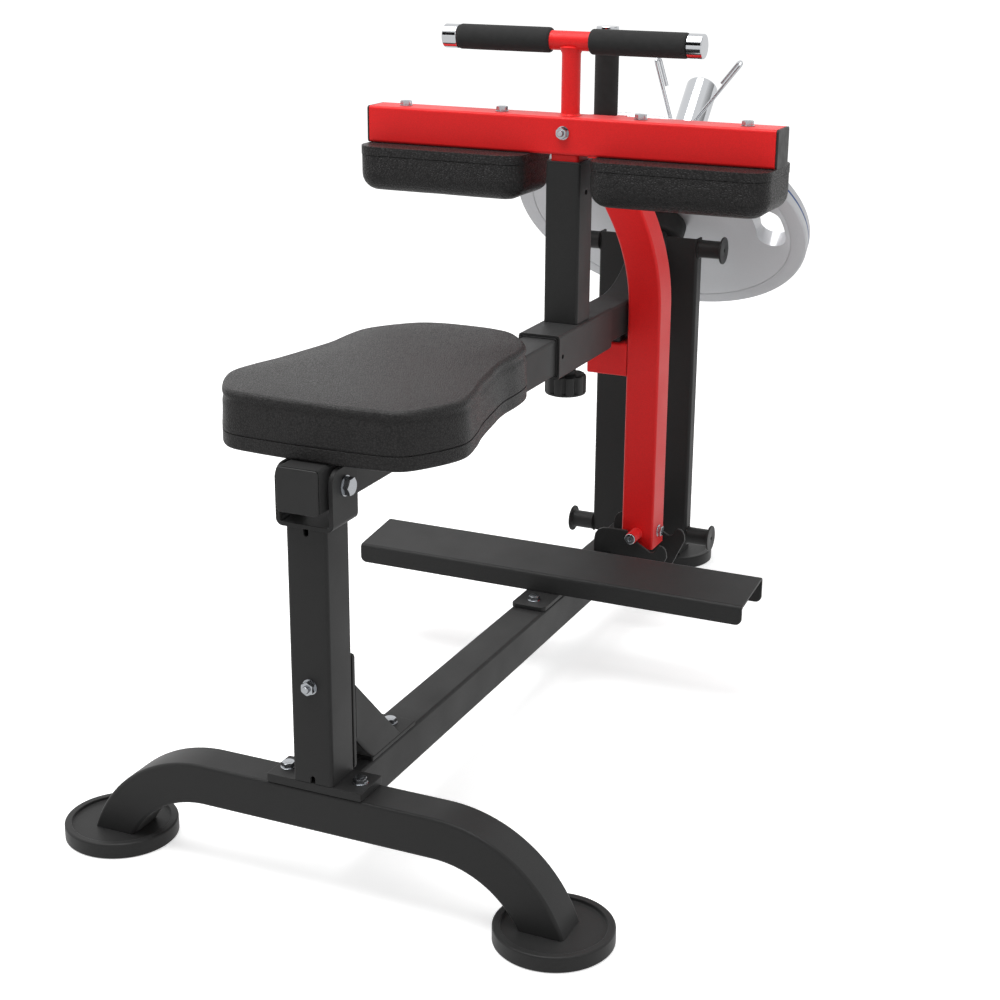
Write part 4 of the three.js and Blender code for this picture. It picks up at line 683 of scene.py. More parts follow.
# Lever, its end cap and bushes
# The swinging lever is a 50 mm square tube, bent up 45 degrees at the rear. A moulded cap closes its
# front end, and two flanged steel bushes carry it on the pivot bolt.
lever_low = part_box("lever_tube")[0]
lever_straight_end, lever_bend, lever_turn, lever_tail = 0.885, 0.190, math.radians(45.5), 0.038
lever_points = bent_path((lever_low[1], pivot_z), 0.0, [
    (pivot_y + lever_straight_end - lever_low[1], lever_turn, lever_bend), (lever_tail, 0.0, lever_bend)])
dress(square_tube("lever_bar", [(0, y, z) for y, z in lever_points], black_coat),
      "lever", "black_powder_coat", "lever_tube")
tube_end = Vector((0.0, lever_points[-1][0], lever_points[-1][1]))
along_horn = Vector((0.0, math.cos(lever_turn), math.sin(lever_turn)))
horn_frame = Matrix.Rotation(lever_turn - quarter, 4, "X")


def moulded(name, colour, smooth, rough):
    """Moulded plastic or rubber: nearly flat, with the faint waves of its mould and a fine grain."""
    material, tree, spot = placed_material(name)
    wave = noise(tree, spot, 1 / 0.012)
    grain = noise(tree, spot, 1 / 0.0006)
    return finished(material, tree, grain, 0.00003, {
        "Base Color": hex_colour(colour), "Roughness": spread(tree, wave, smooth, rough),
        "Specular IOR Level": 0.3})


# Polypropylene caps and sleeves have a dull, slightly waxy skin
black_plastic = moulded("moulded black polypropylene", "#262626", 0.38, 0.5)

cap_thickness, cap_edge = 0.003, 0.0012
cap_shell = bmesh.new()
rounded_slab(cap_shell, (-tube_side / 2, -tube_side / 2, 0),
             (tube_side / 2, tube_side / 2, cap_thickness), tube_corner)
cap_unit = unit_of("cap_unit", cap_shell, black_plastic, edge=cap_edge)
dress(copies("lever_cap", cap_unit, [Matrix.Translation((0, lever_low[1] - fit_gap, pivot_z)) @ facing_front],
             black_plastic), "lever", "black_plastic", "lever_end_cap")

bush_low, bush_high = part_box("pivot_bush_right")
bush_shell = bmesh.new()
bush_bore, bush_flange = 0.0085, 0.016
for turn in (facing_left, facing_right):
    turned(bush_shell, [(bush_bore, bush_low[0]), (bush_bore + 0.003, bush_low[0]),
                        (bush_bore + 0.003, tube_side / 2 + fit_gap), (bush_flange, tube_side / 2 + fit_gap),
                        (bush_flange, bush_high[0]), (bush_bore, bush_high[0])], 48,
           Matrix.Translation((0, pivot_y, pivot_z)) @ turn)
dress(solid_piece("pivot_bushes", bush_shell, zinc, 0.0004), "lever", "zinc_plate",
      "pivot_bush_left", "pivot_bush_right")


# Weight horn and its stop collar
# The horn that takes the weight plates is a 50 mm chromed tube with a turned-in end. A black rubber
# collar round its foot keeps the plates off the lever.
chrome = bright_metal("polished chrome plate", "#cacccf", 0.05, 0.10, 0.02)
black_rubber = moulded("moulded black rubber", "#232323", 0.5, 0.62)

collar_radius, collar_length, collar_edge, horn_radius = 0.043, 0.036, 0.005, 0.025
collar_shell = bmesh.new()
turned(collar_shell, [(horn_radius + fit_gap, 0)]
       + arc((collar_radius - collar_edge, collar_edge), collar_edge, -90, 0, 5)
       + arc((collar_radius - collar_edge, collar_length - collar_edge), collar_edge, 0, 90, 5)
       + [(horn_radius + fit_gap, collar_length)], 72, Matrix.Translation(tube_end + fit_gap * along_horn)
       @ horn_frame)
dress(solid_piece("stop_collar", collar_shell, black_rubber), "lever", "black_gloss_plastic", "horn_collar")

horn_length, horn_wall, horn_round = 0.297, 0.005, 0.004
horn_shell = bmesh.new()
turned(horn_shell, [(horn_radius - horn_wall, 0), (horn_radius, 0)]
       + arc((horn_radius - horn_round, horn_length - horn_round), horn_round, 0, 90, 6)
       + [(0.003, horn_length), (0.003, horn_length - horn_wall),
          (horn_radius - horn_wall, horn_length - horn_wall)], 96,
       Matrix.Translation(tube_end + fit_gap * along_horn) @ horn_frame)
dress(solid_piece("chrome_horn", horn_shell, chrome), "lever", "chrome_plate", "weight_horn")


# Seat
# A contoured cushion of moulded foam under black grained vinyl. The same vinyl is drawn over the
# board below it, so a seam runs round the seat where cushion and board meet.
def grained_vinyl(name, colour, cell, depth, smooth, rough, specular):
    """Coated fabric with an embossed pebble grain of this cell size and depth, in metres. Its colour is
    painted darker in the valleys between the pebbles, as painted shade, and lighter on their crowns, as
    painted highlight.
    """
    material, tree, spot = placed_material(name)
    stray = add_node(tree, "ShaderNodeTexNoise", {"Vector": spot, "Scale": 0.6 / cell, "Detail": 3.0})
    bent = add_node(tree, "ShaderNodeVectorMath", {
        0: stray.outputs["Color"], 1: (cell, cell, cell)}, operation="MULTIPLY")
    place = add_node(tree, "ShaderNodeVectorMath", {0: spot, 1: bent.outputs[0]}, operation="ADD")
    pebble = add_node(tree, "ShaderNodeTexVoronoi", {
        "Vector": place.outputs[0], "Scale": 1 / cell}, feature="DISTANCE_TO_EDGE")
    crown = add_node(tree, "ShaderNodeMapRange", {
        "Value": pebble.outputs["Distance"], "From Max": 0.25}, interpolation_type="SMOOTHSTEP")
    # Painted shade and highlight: the colour falls to half in the valleys between the pebbles and rises to
    # 1.35 times on their crowns
    tint = two_tone(tree, crown.outputs[0], colour, 0.50, 1.35)
    gloss = add_node(tree, "ShaderNodeMapRange", {
        "Value": crown.outputs[0], "To Min": rough, "To Max": smooth})
    return finished(material, tree, crown.outputs[0], depth, {
        "Base Color": tint, "Roughness": gloss.outputs[0], "Specular IOR Level": specular})


# PVC leathercloth with a fine pebble grain, drawn at 2.7 mm because the real 0.7 mm is too fine. Painted
# shade darkens its valleys and a painted highlight lightens its crowns.
black_vinyl = grained_vinyl("black pebble grain vinyl", "#232222", 0.0027, 0.00034, 0.32, 0.46, 0.24)


def smooth_outline(points, steps):
    """A closed centripetal curve through the points, with this many steps from each to the next."""
    curve = []
    for before, start, end, after in zip(np.roll(points, 1, axis=0), points,
                                         np.roll(points, -1, axis=0), np.roll(points, -2, axis=0)):
        t0, t1, t2, t3 = np.cumsum([0.0] + [math.sqrt(np.linalg.norm(b - a)) for a, b in
                                            ((before, start), (start, end), (end, after))])
        for t in np.linspace(t1, t2, steps, endpoint=False):
            near = ((t1 - t) * before + (t - t0) * start) / (t1 - t0)
            here = ((t2 - t) * start + (t - t1) * end) / (t2 - t1)
            far = ((t3 - t) * end + (t - t2) * after) / (t3 - t2)
            low = ((t2 - t) * near + (t - t0) * here) / (t2 - t0)
            high = ((t3 - t) * here + (t - t1) * far) / (t3 - t1)
            curve.append(((t2 - t) * low + (t - t1) * high) / (t2 - t1))
    return np.array(curve)


def inset_ring(outline, inset):
    """The closed outline moved inwards by the inset."""
    before, after = np.roll(outline, 1, axis=0), np.roll(outline, -1, axis=0)
    tangent = (after - before) / np.linalg.norm(after - before, axis=1)[:, None]
    return outline + inset * np.stack((-tangent[:, 1], tangent[:, 0]), axis=1)


def padded_shell(outline, rows, foot=0.0, crown=0.0, steps=10):
    """A closed body whose rings are the outline moved inwards: rows are insets and heights. Smaller
    rings fill its foot and its top, which swell by foot and crown."""
    rings = [[(x, y, height) for x, y in inset_ring(outline, inset)] for inset, height in rows]
    middle = outline.mean(axis=0)
    for index, swell in ((0, -foot), (-1, crown)):
        rim = np.array(rings[index])
        fill = [[(*(middle + share * (point[:2] - middle)), point[2] + swell * (1 - share ** 2))
                 for point in rim] for share in np.linspace(1, 0, steps + 1)[1:-1]]
        rings = fill[::-1] + rings if index == 0 else rings + fill
    shell = bmesh.new()
    skin(shell, rings)
    return shell


def rounded_rows(low, high, low_round, high_round, steps=6):
    """Rows of a slab whose lower and upper rims are rounded."""
    rows = [(low_round + low_round * math.sin(math.radians(turn)),
             low + low_round - low_round * math.cos(math.radians(turn)))
            for turn in np.linspace(0, -90, steps + 1)]
    rows += [(high_round - high_round * math.cos(math.radians(turn)),
              high - high_round + high_round * math.sin(math.radians(turn)))
             for turn in np.linspace(0, 90, steps + 1)]
    return rows


def filled_cushion(name, shell, material, held, press=4.0, most=0.0012, cell=0.006):
    """Fills a cover as cloth under pressure from inside, on a coarse copy whose swelling the fine cover
    then follows. held says which places stay where they are; no point moves further than most."""
    made = solid_piece(name, shell, material)
    cloth = add_object(name + "_cloth", made.data.copy())
    remesh = cloth.modifiers.new("even cells", "REMESH")
    remesh.mode, remesh.voxel_size = "VOXEL", cell
    settle(cloth)
    stay = cloth.vertex_groups.new(name="held")
    stay.add([v.index for v in cloth.data.vertices if held(v.co)], 1.0, "REPLACE")
    rest = [v.co.copy() for v in cloth.data.vertices]
    cover = cloth.modifiers.new("cover", "CLOTH")
    cover.settings.use_pressure = True
    cover.settings.uniform_pressure_force = press
    cover.settings.effector_weights.gravity = 0.0
    cover.settings.vertex_group_mass = "held"
    cover.point_cache.frame_start, cover.point_cache.frame_end = 1, 20
    for moment in range(1, 21):
        scene.frame_set(moment)
    graph = bpy.context.evaluated_depsgraph_get()
    moves = [v.co - start for v, start in zip(cloth.evaluated_get(graph).data.vertices, rest)]
    moves = [move * min(1.0, most / max(move.length, 1e-9)) for move in moves]
    tree = KDTree(len(rest))
    for index, start in enumerate(rest):
        tree.insert(start, index)
    tree.balance()
    for v in made.data.vertices:
        if not held(v.co):
            near = tree.find_n(v.co, 24)
            shares = [1 / (distance + cell) for _, _, distance in near]
            v.co += sum((moves[index] * share for (_, index, _), share in zip(near, shares)),
                        Vector()) / sum(shares)
    bpy.data.objects.remove(cloth)
    scene.frame_set(1)
    return made


seat_width, seat_length, seat_front = 0.290, 0.392, 0.015
seat_width_shares = (0.46, 0.72, 0.88, 1, 0.965, 0.9, 0.837, 0.785, 0.78, 0.745, 0.605, 0.43, 0.265)
seat_length_shares = (0, 0.018, 0.09, 0.2, 0.3, 0.39, 0.51, 0.63, 0.75, 0.83, 0.915, 0.98, 1)
half_outline = [(across * seat_width / 2, pivot_y - seat_front + along * seat_length)
                for across, along in zip(seat_width_shares, seat_length_shares)]
seat_outline = smooth_outline(np.array(half_outline + [(-x, y) for x, y in half_outline[::-1]]), 14)
cushion_low, cushion_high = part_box("seat_cushion")
board_low, board_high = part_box("seat_board")
seat_roll, seat_tuck, seat_tuck_height, seat_crown, seam_depth = 0.0060, 0.0018, 0.012, 0.0018, 0.0010
seat_rim = cushion_high[2] - seat_crown - 0.001
seat_side_top = seat_rim - seat_roll
seat_rows = [(seam_depth, cushion_low[2]), (0.0003, cushion_low[2] + seam_depth),
             (0.0, cushion_low[2] + 3 * seam_depth)]
seat_rows += [(0.0, height) for height in np.linspace(cushion_low[2] + 0.009,
                                                      seat_side_top - seat_tuck_height, 4)]
seat_rows += [(seat_tuck * math.sin(math.pi * share) ** 2, seat_side_top - seat_tuck_height * (1 - share))
              for share in (0.25, 0.45, 0.6, 0.75, 0.9)]
seat_rows += [(seat_roll * (1 - math.cos(math.radians(turn))),
               seat_side_top + seat_roll * math.sin(math.radians(turn)))
              for turn in (10, 25, 40, 55, 70, 82, 90)]
seat_shell = padded_shell(seat_outline, seat_rows, crown=seat_crown)
seat_foot = cushion_low[2] + 0.004
seat = filled_cushion("seat_cover", seat_shell, black_vinyl, lambda co: co.z < seat_foot)
dress(seat, "lever", "black_vinyl", "seat_cushion")

board_round, board_foot = 0.0008, 0.004
board_shell = padded_shell(seat_outline, rounded_rows(board_low[2], board_high[2], board_foot, board_round))
dress(solid_piece("seat_board_cover", board_shell, black_vinyl), "lever", "covered_board", "seat_board")


# Carriage
# A 60 mm square sleeve slides on the lever, lined with moulded plastic. It carries the tube in which
# the knee pads rise, and a welded boss below it takes the clamp knob.
for node, name, body, material, slot, edge in (
        ("carriage_sleeve", "sliding_sleeve", "carriage", black_coat, "black_powder_coat", 0.001),
        ("sleeve_liner", "sleeve_lining", "carriage", black_plastic, "black_plastic", 0.0005),
        ("knee_upright", "knee_tube", "carriage", black_coat, "black_powder_coat", 0.0008),
        ("height_guide", "guide_bush", "carriage", black_plastic, "black_plastic", 0.0005)):
    dress(solid_piece(name, cad_copy(node), material, edge), body, slot, node)

boss_low, boss_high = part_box("clamp_boss")
boss_middle = box_middle("clamp_boss")[:2]
boss_radius, knob_screw = 0.013, 0.006
boss_shell = bmesh.new()
rod(boss_shell, boss_radius, boss_low[2], boss_high[2], 48, Matrix.Translation((*boss_middle, 0)),
    knob_screw + 0.0005)
dress(solid_piece("screw_boss", boss_shell, black_coat, 0.0008), "carriage", "black_powder_coat",
      "clamp_boss")

knob_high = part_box("clamp_knob")[1]
knob_radius, knob_height, knob_neck, knob_neck_height = 0.029, 0.029, 0.014, 0.0055
knob_lobes, knob_flute, knob_sides, knob_rim = 10, 0.0034, 240, 0.003
knob_shell = bmesh.new()
knob_rows = []
knob_top = boss_low[2] - fit_gap - knob_neck_height
knob_foot = knob_top - knob_height
for inset, height, flute in (
        (0.004, knob_foot, 0.0), (0.001, knob_foot + 0.0012, 0.0), (0.0, knob_foot + 0.003, 0.0),
        (0.0, knob_foot + knob_rim + 0.001, 0.0), (0.0, knob_foot + knob_rim + 0.0012, 1.0),
        (0.0, knob_top - 0.004, 1.0), (0.001, knob_top - 0.0015, 0.8), (0.004, knob_top, 0.5)):
    row = []
    for index in range(knob_sides):
        angle = 2 * math.pi * index / knob_sides
        groove = (0.5 + 0.5 * math.cos(knob_lobes * angle)) ** 4
        radius = knob_radius - inset - flute * knob_flute * groove
        row.append((boss_middle[0] + radius * math.cos(angle),
                    boss_middle[1] + radius * math.sin(angle), height))
    knob_rows.append(row)
skin(knob_shell, knob_rows)
for radius, low, high, sides in ((knob_neck, knob_top - 0.001, knob_top + knob_neck_height, 48),
                                 (knob_screw, knob_top, knob_high[2], 32)):
    rod(knob_shell, radius, low, high, sides, Matrix.Translation((*boss_middle, 0)))
dress(solid_piece("hand_knob", knob_shell, black_plastic, crease=35), "knob", "black_plastic", "clamp_knob")


# Knee head
# A red 50 mm rail across the thighs stands on the adjusting tube and is closed by moulded caps. Two
# flange bolts a side hold the pad boards below it, and a nut shows where the tube's bolt comes out.
red_coat = grained_paint("red powder coat", "#e21a1b", 0.0012, 0.00006, 0.36, 0.46, 0.25)
dress(solid_piece("adjusting_tube", cad_copy("inner_tube"), red_coat, 0.0008), "knee_head",
      "red_powder_coat", "inner_tube")
rail_low, rail_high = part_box("knee_beam")
rail_y, rail_z = box_middle("knee_beam")[1:]
dress(square_tube("knee_rail", [(rail_low[0], rail_y, rail_z), (rail_high[0], rail_y, rail_z)], red_coat),
      "knee_head", "red_powder_coat", "knee_beam")
dress(copies("rail_caps", cap_unit, both_at(rail_high[0] + fit_gap, rail_y, rail_z), black_plastic),
      "knee_head", "black_plastic", "beam_cap_left", "beam_cap_right")

rail_bolt_z = box_middle("beam_bolt")[2]
pad_bolt_inner, pad_bolt_outer = 0.100, 0.246
dress(copies("rail_nuts", nut_unit, [
    Matrix.Translation((0, rail_low[1], rail_bolt_z)) @ facing_front,
    Matrix.Translation((0, rail_high[1], rail_bolt_z)) @ facing_rear], zinc),
    "knee_head", "zinc_plate", "beam_bolt")
dress(copies("pad_bolts", bolt_unit, [
    Matrix.Translation((side * x, rail_y, rail_high[2] + fit_gap))
    for side in (-1, 1) for x in (pad_bolt_inner, pad_bolt_outer)], zinc),
    "knee_head", "zinc_plate", "pad_board_left", "pad_board_right")


# Knee pads
# Blocks of firm foam on plywood boards, each wrapped with its board in coarse grained vinyl. Their
# sides stand nearly upright and their lower edges are well rounded; a seam runs along each board.
# Its coarse grain has the same painted shade in the valleys and painted highlight on the crowns
pad_vinyl = grained_vinyl("coarse grain vinyl of the knee pads", "#212020", 0.0037, 0.00060, 0.32, 0.48, 0.24)


def pad_outline(low, high, corner, spacing=0.003):
    """A rounded rectangle as an evenly spaced closed line, seen from above."""
    line = np.array(rounded_outline(low, high, corner, 12))
    ring = np.vstack((line, line[:1]))
    length = np.concatenate(([0.0], np.cumsum(np.linalg.norm(np.diff(ring, axis=0), axis=1))))
    even = np.linspace(0, length[-1], round(length[-1] / spacing), endpoint=False)
    return np.stack([np.interp(even, length, ring[:, axis]) for axis in (0, 1)], axis=1)


def mirrored(name, made):
    """A copy of the piece on the machine's other side."""
    shell = bmesh.new()
    shell.from_mesh(made.data)
    bmesh.ops.scale(shell, vec=(-1, 1, 1), verts=shell.verts)
    bmesh.ops.reverse_faces(shell, faces=shell.faces)
    mesh = made.data.copy()
    mesh.name = name
    shell.to_mesh(mesh)
    shell.free()
    return add_object(name, mesh)


pad_low, pad_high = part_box("knee_pad_right")
board_right_low, board_right_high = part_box("pad_board_right")
pad_corner, pad_roll, pad_top_round, pad_board_thickness = 0.028, 0.022, 0.0006, 0.012
pad_belly = 0.0015
pad_rows = rounded_rows(pad_low[2] + pad_belly, pad_high[2], pad_roll, pad_top_round)
pad_middle_rows = [(0.0, height) for height in np.linspace(pad_rows[6][1], pad_rows[7][1], 6)[1:-1]]
pad_shell = padded_shell(pad_outline(pad_low, pad_high, pad_corner),
                         pad_rows[:7] + pad_middle_rows + pad_rows[7:], foot=pad_belly)
pad_hold = pad_high[2] - 0.004
pad_right = filled_cushion("knee_pad_cover_right", pad_shell, pad_vinyl, lambda co: co.z > pad_hold,
                           most=0.0010)
pad_left = mirrored("knee_pad_cover_left", pad_right)
dress(pad_right, "knee_head", "black_vinyl", "knee_pad_right")
dress(pad_left, "knee_head", "black_vinyl", "knee_pad_left")

pad_board_edge = 0.0004
board_shell = padded_shell(pad_outline(board_right_low, board_right_high, pad_corner), rounded_rows(
    board_right_low[2], board_right_low[2] + pad_board_thickness, pad_board_edge, pad_board_edge))
board_right = solid_piece("pad_board_cover_right", board_shell, pad_vinyl)
board_left = mirrored("pad_board_cover_left", board_right)
dress(board_right, "knee_head", "covered_board", "pad_board_right")
dress(board_left, "knee_head", "covered_board", "pad_board_left")


# T handle
# A round 25 mm stem is welded to the rail and to a cross tube of the same size, all coated red.
# Foam sleeves leave the middle bare, and turned chrome caps close the ends.
handle_low, handle_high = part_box("handle_tee")
handle_radius = 0.0127
handle_axis = handle_high[2] - handle_radius
handle_reach = handle_high[0]
weld = 0.0035
handle_shell = bmesh.new()
turned(handle_shell, [(0, handle_low[2]), (handle_radius + weld, handle_low[2])]
       + arc((handle_radius + weld, handle_low[2] + weld), weld, -90, -180, 4)
       + [(handle_radius, handle_axis - handle_radius - weld), (handle_radius + weld, handle_axis - 0.008),
          (0, handle_axis)], 64, Matrix.Translation((0, rail_y, 0)))
rod(handle_shell, handle_radius, -handle_reach, handle_reach, 64,
    Matrix.Translation((0, rail_y, handle_axis)) @ facing_right)
dress(solid_piece("tee_handle", handle_shell, red_coat), "knee_head", "red_powder_coat", "handle_tee")


def foam_skin(name, colour, cell, depth):
    """Closed cell foam with its skin on: matt, with small pores."""
    material, tree, spot = placed_material(name)
    pores = add_node(tree, "ShaderNodeTexVoronoi", {"Vector": spot, "Scale": 1 / cell})
    patches = noise(tree, spot, 0.1 / cell)
    depths = add_node(tree, "ShaderNodeMapRange", {"Value": pores.outputs["Distance"], "From Max": 0.6})
    return finished(material, tree, depths.outputs[0], depth, {
        "Base Color": two_tone(tree, patches, colour, 0.7), "Roughness": 0.85,
        "Specular IOR Level": 0.15, "Sheen Weight": 0.05})


# Nitrile foam is dull and a little dusty, with pores of about 1 mm
black_foam = foam_skin("black grip foam", "#2e2e2e", 0.001, 0.00008)


def foam_sleeve(name, low, high, radius, bore, place, swell=0.0004):
    """A foam sleeve pushed on a tube, its ends rolled: stretched over the tube, it swells a little."""
    shell = bmesh.new()
    steps = round((high - low) / 0.004)
    lip = 0.004
    rows = [(bore, low)] + arc((radius - lip, low + lip), lip, -90, 0, 5)
    rows += [(radius, low + lip + (high - low - 2 * lip) * step / steps) for step in range(1, steps)]
    rows += arc((radius - lip, high - lip), lip, 0, 90, 5) + [(bore, high)]
    turned(shell, rows, 96, place)
    back = place.inverted()
    return filled_cushion(name, shell, black_foam,
                          lambda co: math.hypot(*(back @ co).to_2d()) < bore + 0.001, most=swell)


grip_low, grip_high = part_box("grip_right")
grip_radius, grip_bore = (grip_high[1] - grip_low[1]) / 2, handle_radius + fit_gap
grip_right = foam_sleeve("foam_grip_right", grip_low[0], grip_high[0], grip_radius, grip_bore,
                         Matrix.Translation((0, rail_y, handle_axis)) @ facing_right)
grip_left = mirrored("foam_grip_left", grip_right)
dress(grip_right, "knee_head", "black_foam", "grip_right")
dress(grip_left, "knee_head", "black_foam", "grip_left")

cap_low, cap_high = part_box("handle_cap_right")
chrome_radius, chrome_edge = (cap_high[1] - cap_low[1]) / 2, 0.0015


def chrome_cap(length, place):
    """A turned cap of this length."""
    shell = bmesh.new()
    turned(shell, [(0, 0), (chrome_radius - 0.0008, 0), (chrome_radius, 0.0008)]
           + arc((chrome_radius - chrome_edge, length - chrome_edge), chrome_edge, 0, 90, 5)
           + [(0, length)], 96, place)
    return shell


chrome_shell = chrome_cap(cap_high[0] - cap_low[0], Matrix())
chrome_unit = unit_of("chrome_cap_unit", chrome_shell, chrome)
dress(copies("handle_caps", chrome_unit, both_at(cap_low[0], rail_y, handle_axis), chrome),
      "knee_head", "chrome_plate", "handle_cap_left", "handle_cap_right")


# Safety catch
# A red 50 mm tube arm, bent over towards the machine's middle, swings on a cross pin in its foot. A
# stub on its side, with a rubber bumper, holds the lever up; its top ends in a foam handle.
arm_y, arm_top = box_middle("catch_arm")[1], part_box("catch_arm")[1][2]
arm_x, pin_z, arm_foot = 0.0575, 0.1584, 0.135
arm_bend_start, arm_lower_bend, arm_upper_bend = 0.500, 0.300, 0.180
arm_turn, arm_offset = math.radians(28.7), 0.0765
arm_bow = (arm_lower_bend + arm_upper_bend) * (1 - math.cos(arm_turn))
arm_slant = (arm_offset - arm_bow) / math.sin(arm_turn)
arm_points = bent_path((arm_x, arm_foot), quarter, [
    (arm_bend_start - arm_foot, arm_turn, arm_lower_bend), (arm_slant, -arm_turn, arm_upper_bend)])
arm_points.append(Vector((arm_x - arm_offset, arm_top)))
arm = square_tube("catch_arm_tube", [(x, arm_y, z) for x, z in arm_points], red_coat)
dress(arm, "catch", "red_powder_coat", "catch_arm")

sleeve_radius, sleeve_reach, pin_radius, pin_head, pin_head_length = 0.0087, 0.053, 0.0065, 0.0082, 0.003
sleeve_shell = bmesh.new()
rod(sleeve_shell, sleeve_radius, -sleeve_reach, sleeve_reach, 48,
    Matrix.Translation((arm_x, arm_y, pin_z)) @ facing_front, pin_radius + fit_gap)
dress(solid_piece("catch_cross_sleeve", sleeve_shell, red_coat, 0.0005), "catch", "red_powder_coat",
      "catch_arm")

pin_shell = bmesh.new()
for turn in (facing_front, facing_rear):
    turned(pin_shell, [(0, 0), (pin_head - 0.0006, 0), (pin_head, 0.0006)]
           + arc((pin_head - 0.001, pin_head_length - 0.001), 0.001, 0, 90, 4)
           + [(0.0035, pin_head_length), (0.0030, pin_head_length - 0.0008),
              (0, pin_head_length - 0.0008)], 48,
           Matrix.Translation((arm_x, arm_y, pin_z)) @ turn
           @ Matrix.Translation((0, 0, sleeve_reach + fit_gap)))
set_bolt = copies("catch_bolt", bolt_unit, [
    Matrix.Translation((arm_x + tube_side / 2 + fit_gap, arm_y, pin_z)) @ facing_right], zinc)
dress(set_bolt, "catch", "zinc_plate", "catch_pin")
dress(solid_piece("catch_cross_pin", pin_shell, zinc), "catch", "zinc_plate", "catch_pin")

dress(solid_piece("catch_stub_tube", cad_copy("catch_stub"), red_coat, 0.0008), "catch", "red_powder_coat",
      "catch_stub")
dress(solid_piece("stub_bumper_pad", cad_copy("stub_bumper"), black_rubber, 0.0015), "catch", "black_rubber",
      "stub_bumper")

post_x = arm_x - arm_offset
post_grip_low, post_grip_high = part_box("post_grip")
post_cap_low, post_cap_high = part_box("post_cap")
post_low, post_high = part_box("catch_post")
post_foot = 0.004
post_place = Matrix.Translation((post_x, arm_y, 0))
post_shell = bmesh.new()
rounded_slab(post_shell, (post_low[0], post_low[1], post_low[2]), (post_high[0], post_high[1],
             post_low[2] + post_foot), tube_corner)
rod(post_shell, handle_radius, post_low[2] + post_foot, post_high[2], 64, post_place)
dress(solid_piece("catch_post_rod", post_shell, red_coat), "catch", "red_powder_coat", "catch_post")
post_grip = foam_sleeve("foam_grip_post", post_grip_low[2], post_grip_high[2],
                        (post_grip_high[1] - post_grip_low[1]) / 2, grip_bore, post_place)
dress(post_grip, "catch", "black_foam", "post_grip")
post_cap_length = post_cap_high[2] - post_cap_low[2]
post_cap_shell = chrome_cap(post_cap_length, Matrix.Translation((post_x, arm_y, post_cap_low[2])))
dress(solid_piece("catch_post_cap", post_cap_shell, chrome), "catch", "chrome_plate", "post_cap")


# Weight plate
# A cast iron plate under light grey enamel, without any lettering. Both faces are flat but for a fine
# groove near the rim, and three kidney shaped grip holes go through.
def cast_enamel(name, colour, stripe, reach, middle, ahead):
    """Light enamel on cast iron: the casting's grain shows through, and a thin coloured stripe runs
    round the edge, which lies at this reach from the axis through middle."""
    material, tree, spot = placed_material(name)
    grain = noise(tree, spot, 1 / 0.0018, 4.0, 0.7)
    cloud = noise(tree, spot, 1 / 0.06)
    tint = two_tone(tree, grain, colour, 0.82)
    from_middle = add_node(tree, "ShaderNodeVectorMath", {0: spot, 1: tuple(middle)}, operation="SUBTRACT")
    along = add_node(tree, "ShaderNodeVectorMath", {
        0: from_middle.outputs[0], 1: tuple(ahead)}, operation="DOT_PRODUCT")
    distance = add_node(tree, "ShaderNodeVectorMath", {0: from_middle.outputs[0]}, operation="LENGTH")
    at_edge = add_node(tree, "ShaderNodeMath", {
        0: distance.outputs["Value"], 1: reach - 0.002}, operation="GREATER_THAN")
    at_stripe = add_node(tree, "ShaderNodeMath", {
        0: along.outputs["Value"], 1: 0.0, 2: 0.0016}, operation="COMPARE")
    striped = add_node(tree, "ShaderNodeMath", {
        0: at_edge.outputs[0], 1: at_stripe.outputs[0]}, operation="MULTIPLY")
    paint = add_node(tree, "ShaderNodeMix", {
        0: striped.outputs[0], 6: tint, 7: hex_colour(stripe)}, data_type="RGBA")
    return finished(material, tree, grain, 0.00012, {
        "Base Color": paint.outputs[2], "Metallic": 0.35, "Roughness": spread(tree, cloud, 0.30, 0.40),
        "Specular IOR Level": 0.5})


load_start = 0.0366
load_frame = Matrix.Translation(tube_end + load_start * along_horn) @ horn_frame
load_radius, load_thickness, load_edge, load_hub, load_bore = 0.230, 0.026, 0.003, 0.062, 0.0258
load_groove, load_groove_width, load_groove_depth = 0.205, 0.0013, 0.0014
load_in, load_out, load_span = 0.153, 0.198, math.radians(30)
grey_enamel = cast_enamel("light grey enamel on cast iron", "#c6c7ca", "#1f4480", load_radius,
                          load_frame @ Vector((0, 0, load_thickness / 2)), along_horn)
load_side = [(load_bore, 0.001), (load_bore + 0.001, 0), (load_hub, 0),
             (load_groove - load_groove_width, 0), (load_groove - 0.3 * load_groove_width, load_groove_depth),
             (load_groove + 0.3 * load_groove_width, load_groove_depth), (load_groove + load_groove_width, 0)]
load_side += arc((load_radius - load_edge, load_edge), load_edge, -90, 0, 6)
load_shell = bmesh.new()
turned(load_shell, load_side + [(radius, load_thickness - height) for radius, height in load_side[::-1]],
       240, load_frame)
load = solid_piece("grey_weight_plate", load_shell, grey_enamel, crease=28)
grip_line, grip_round = (load_in + load_out) / 2, (load_out - load_in) / 2
grip_sweep = math.degrees(load_span - 2 * grip_round / grip_line)
hole_overrun, hole_edge = 0.01, 0.0012
hole_shell = bmesh.new()
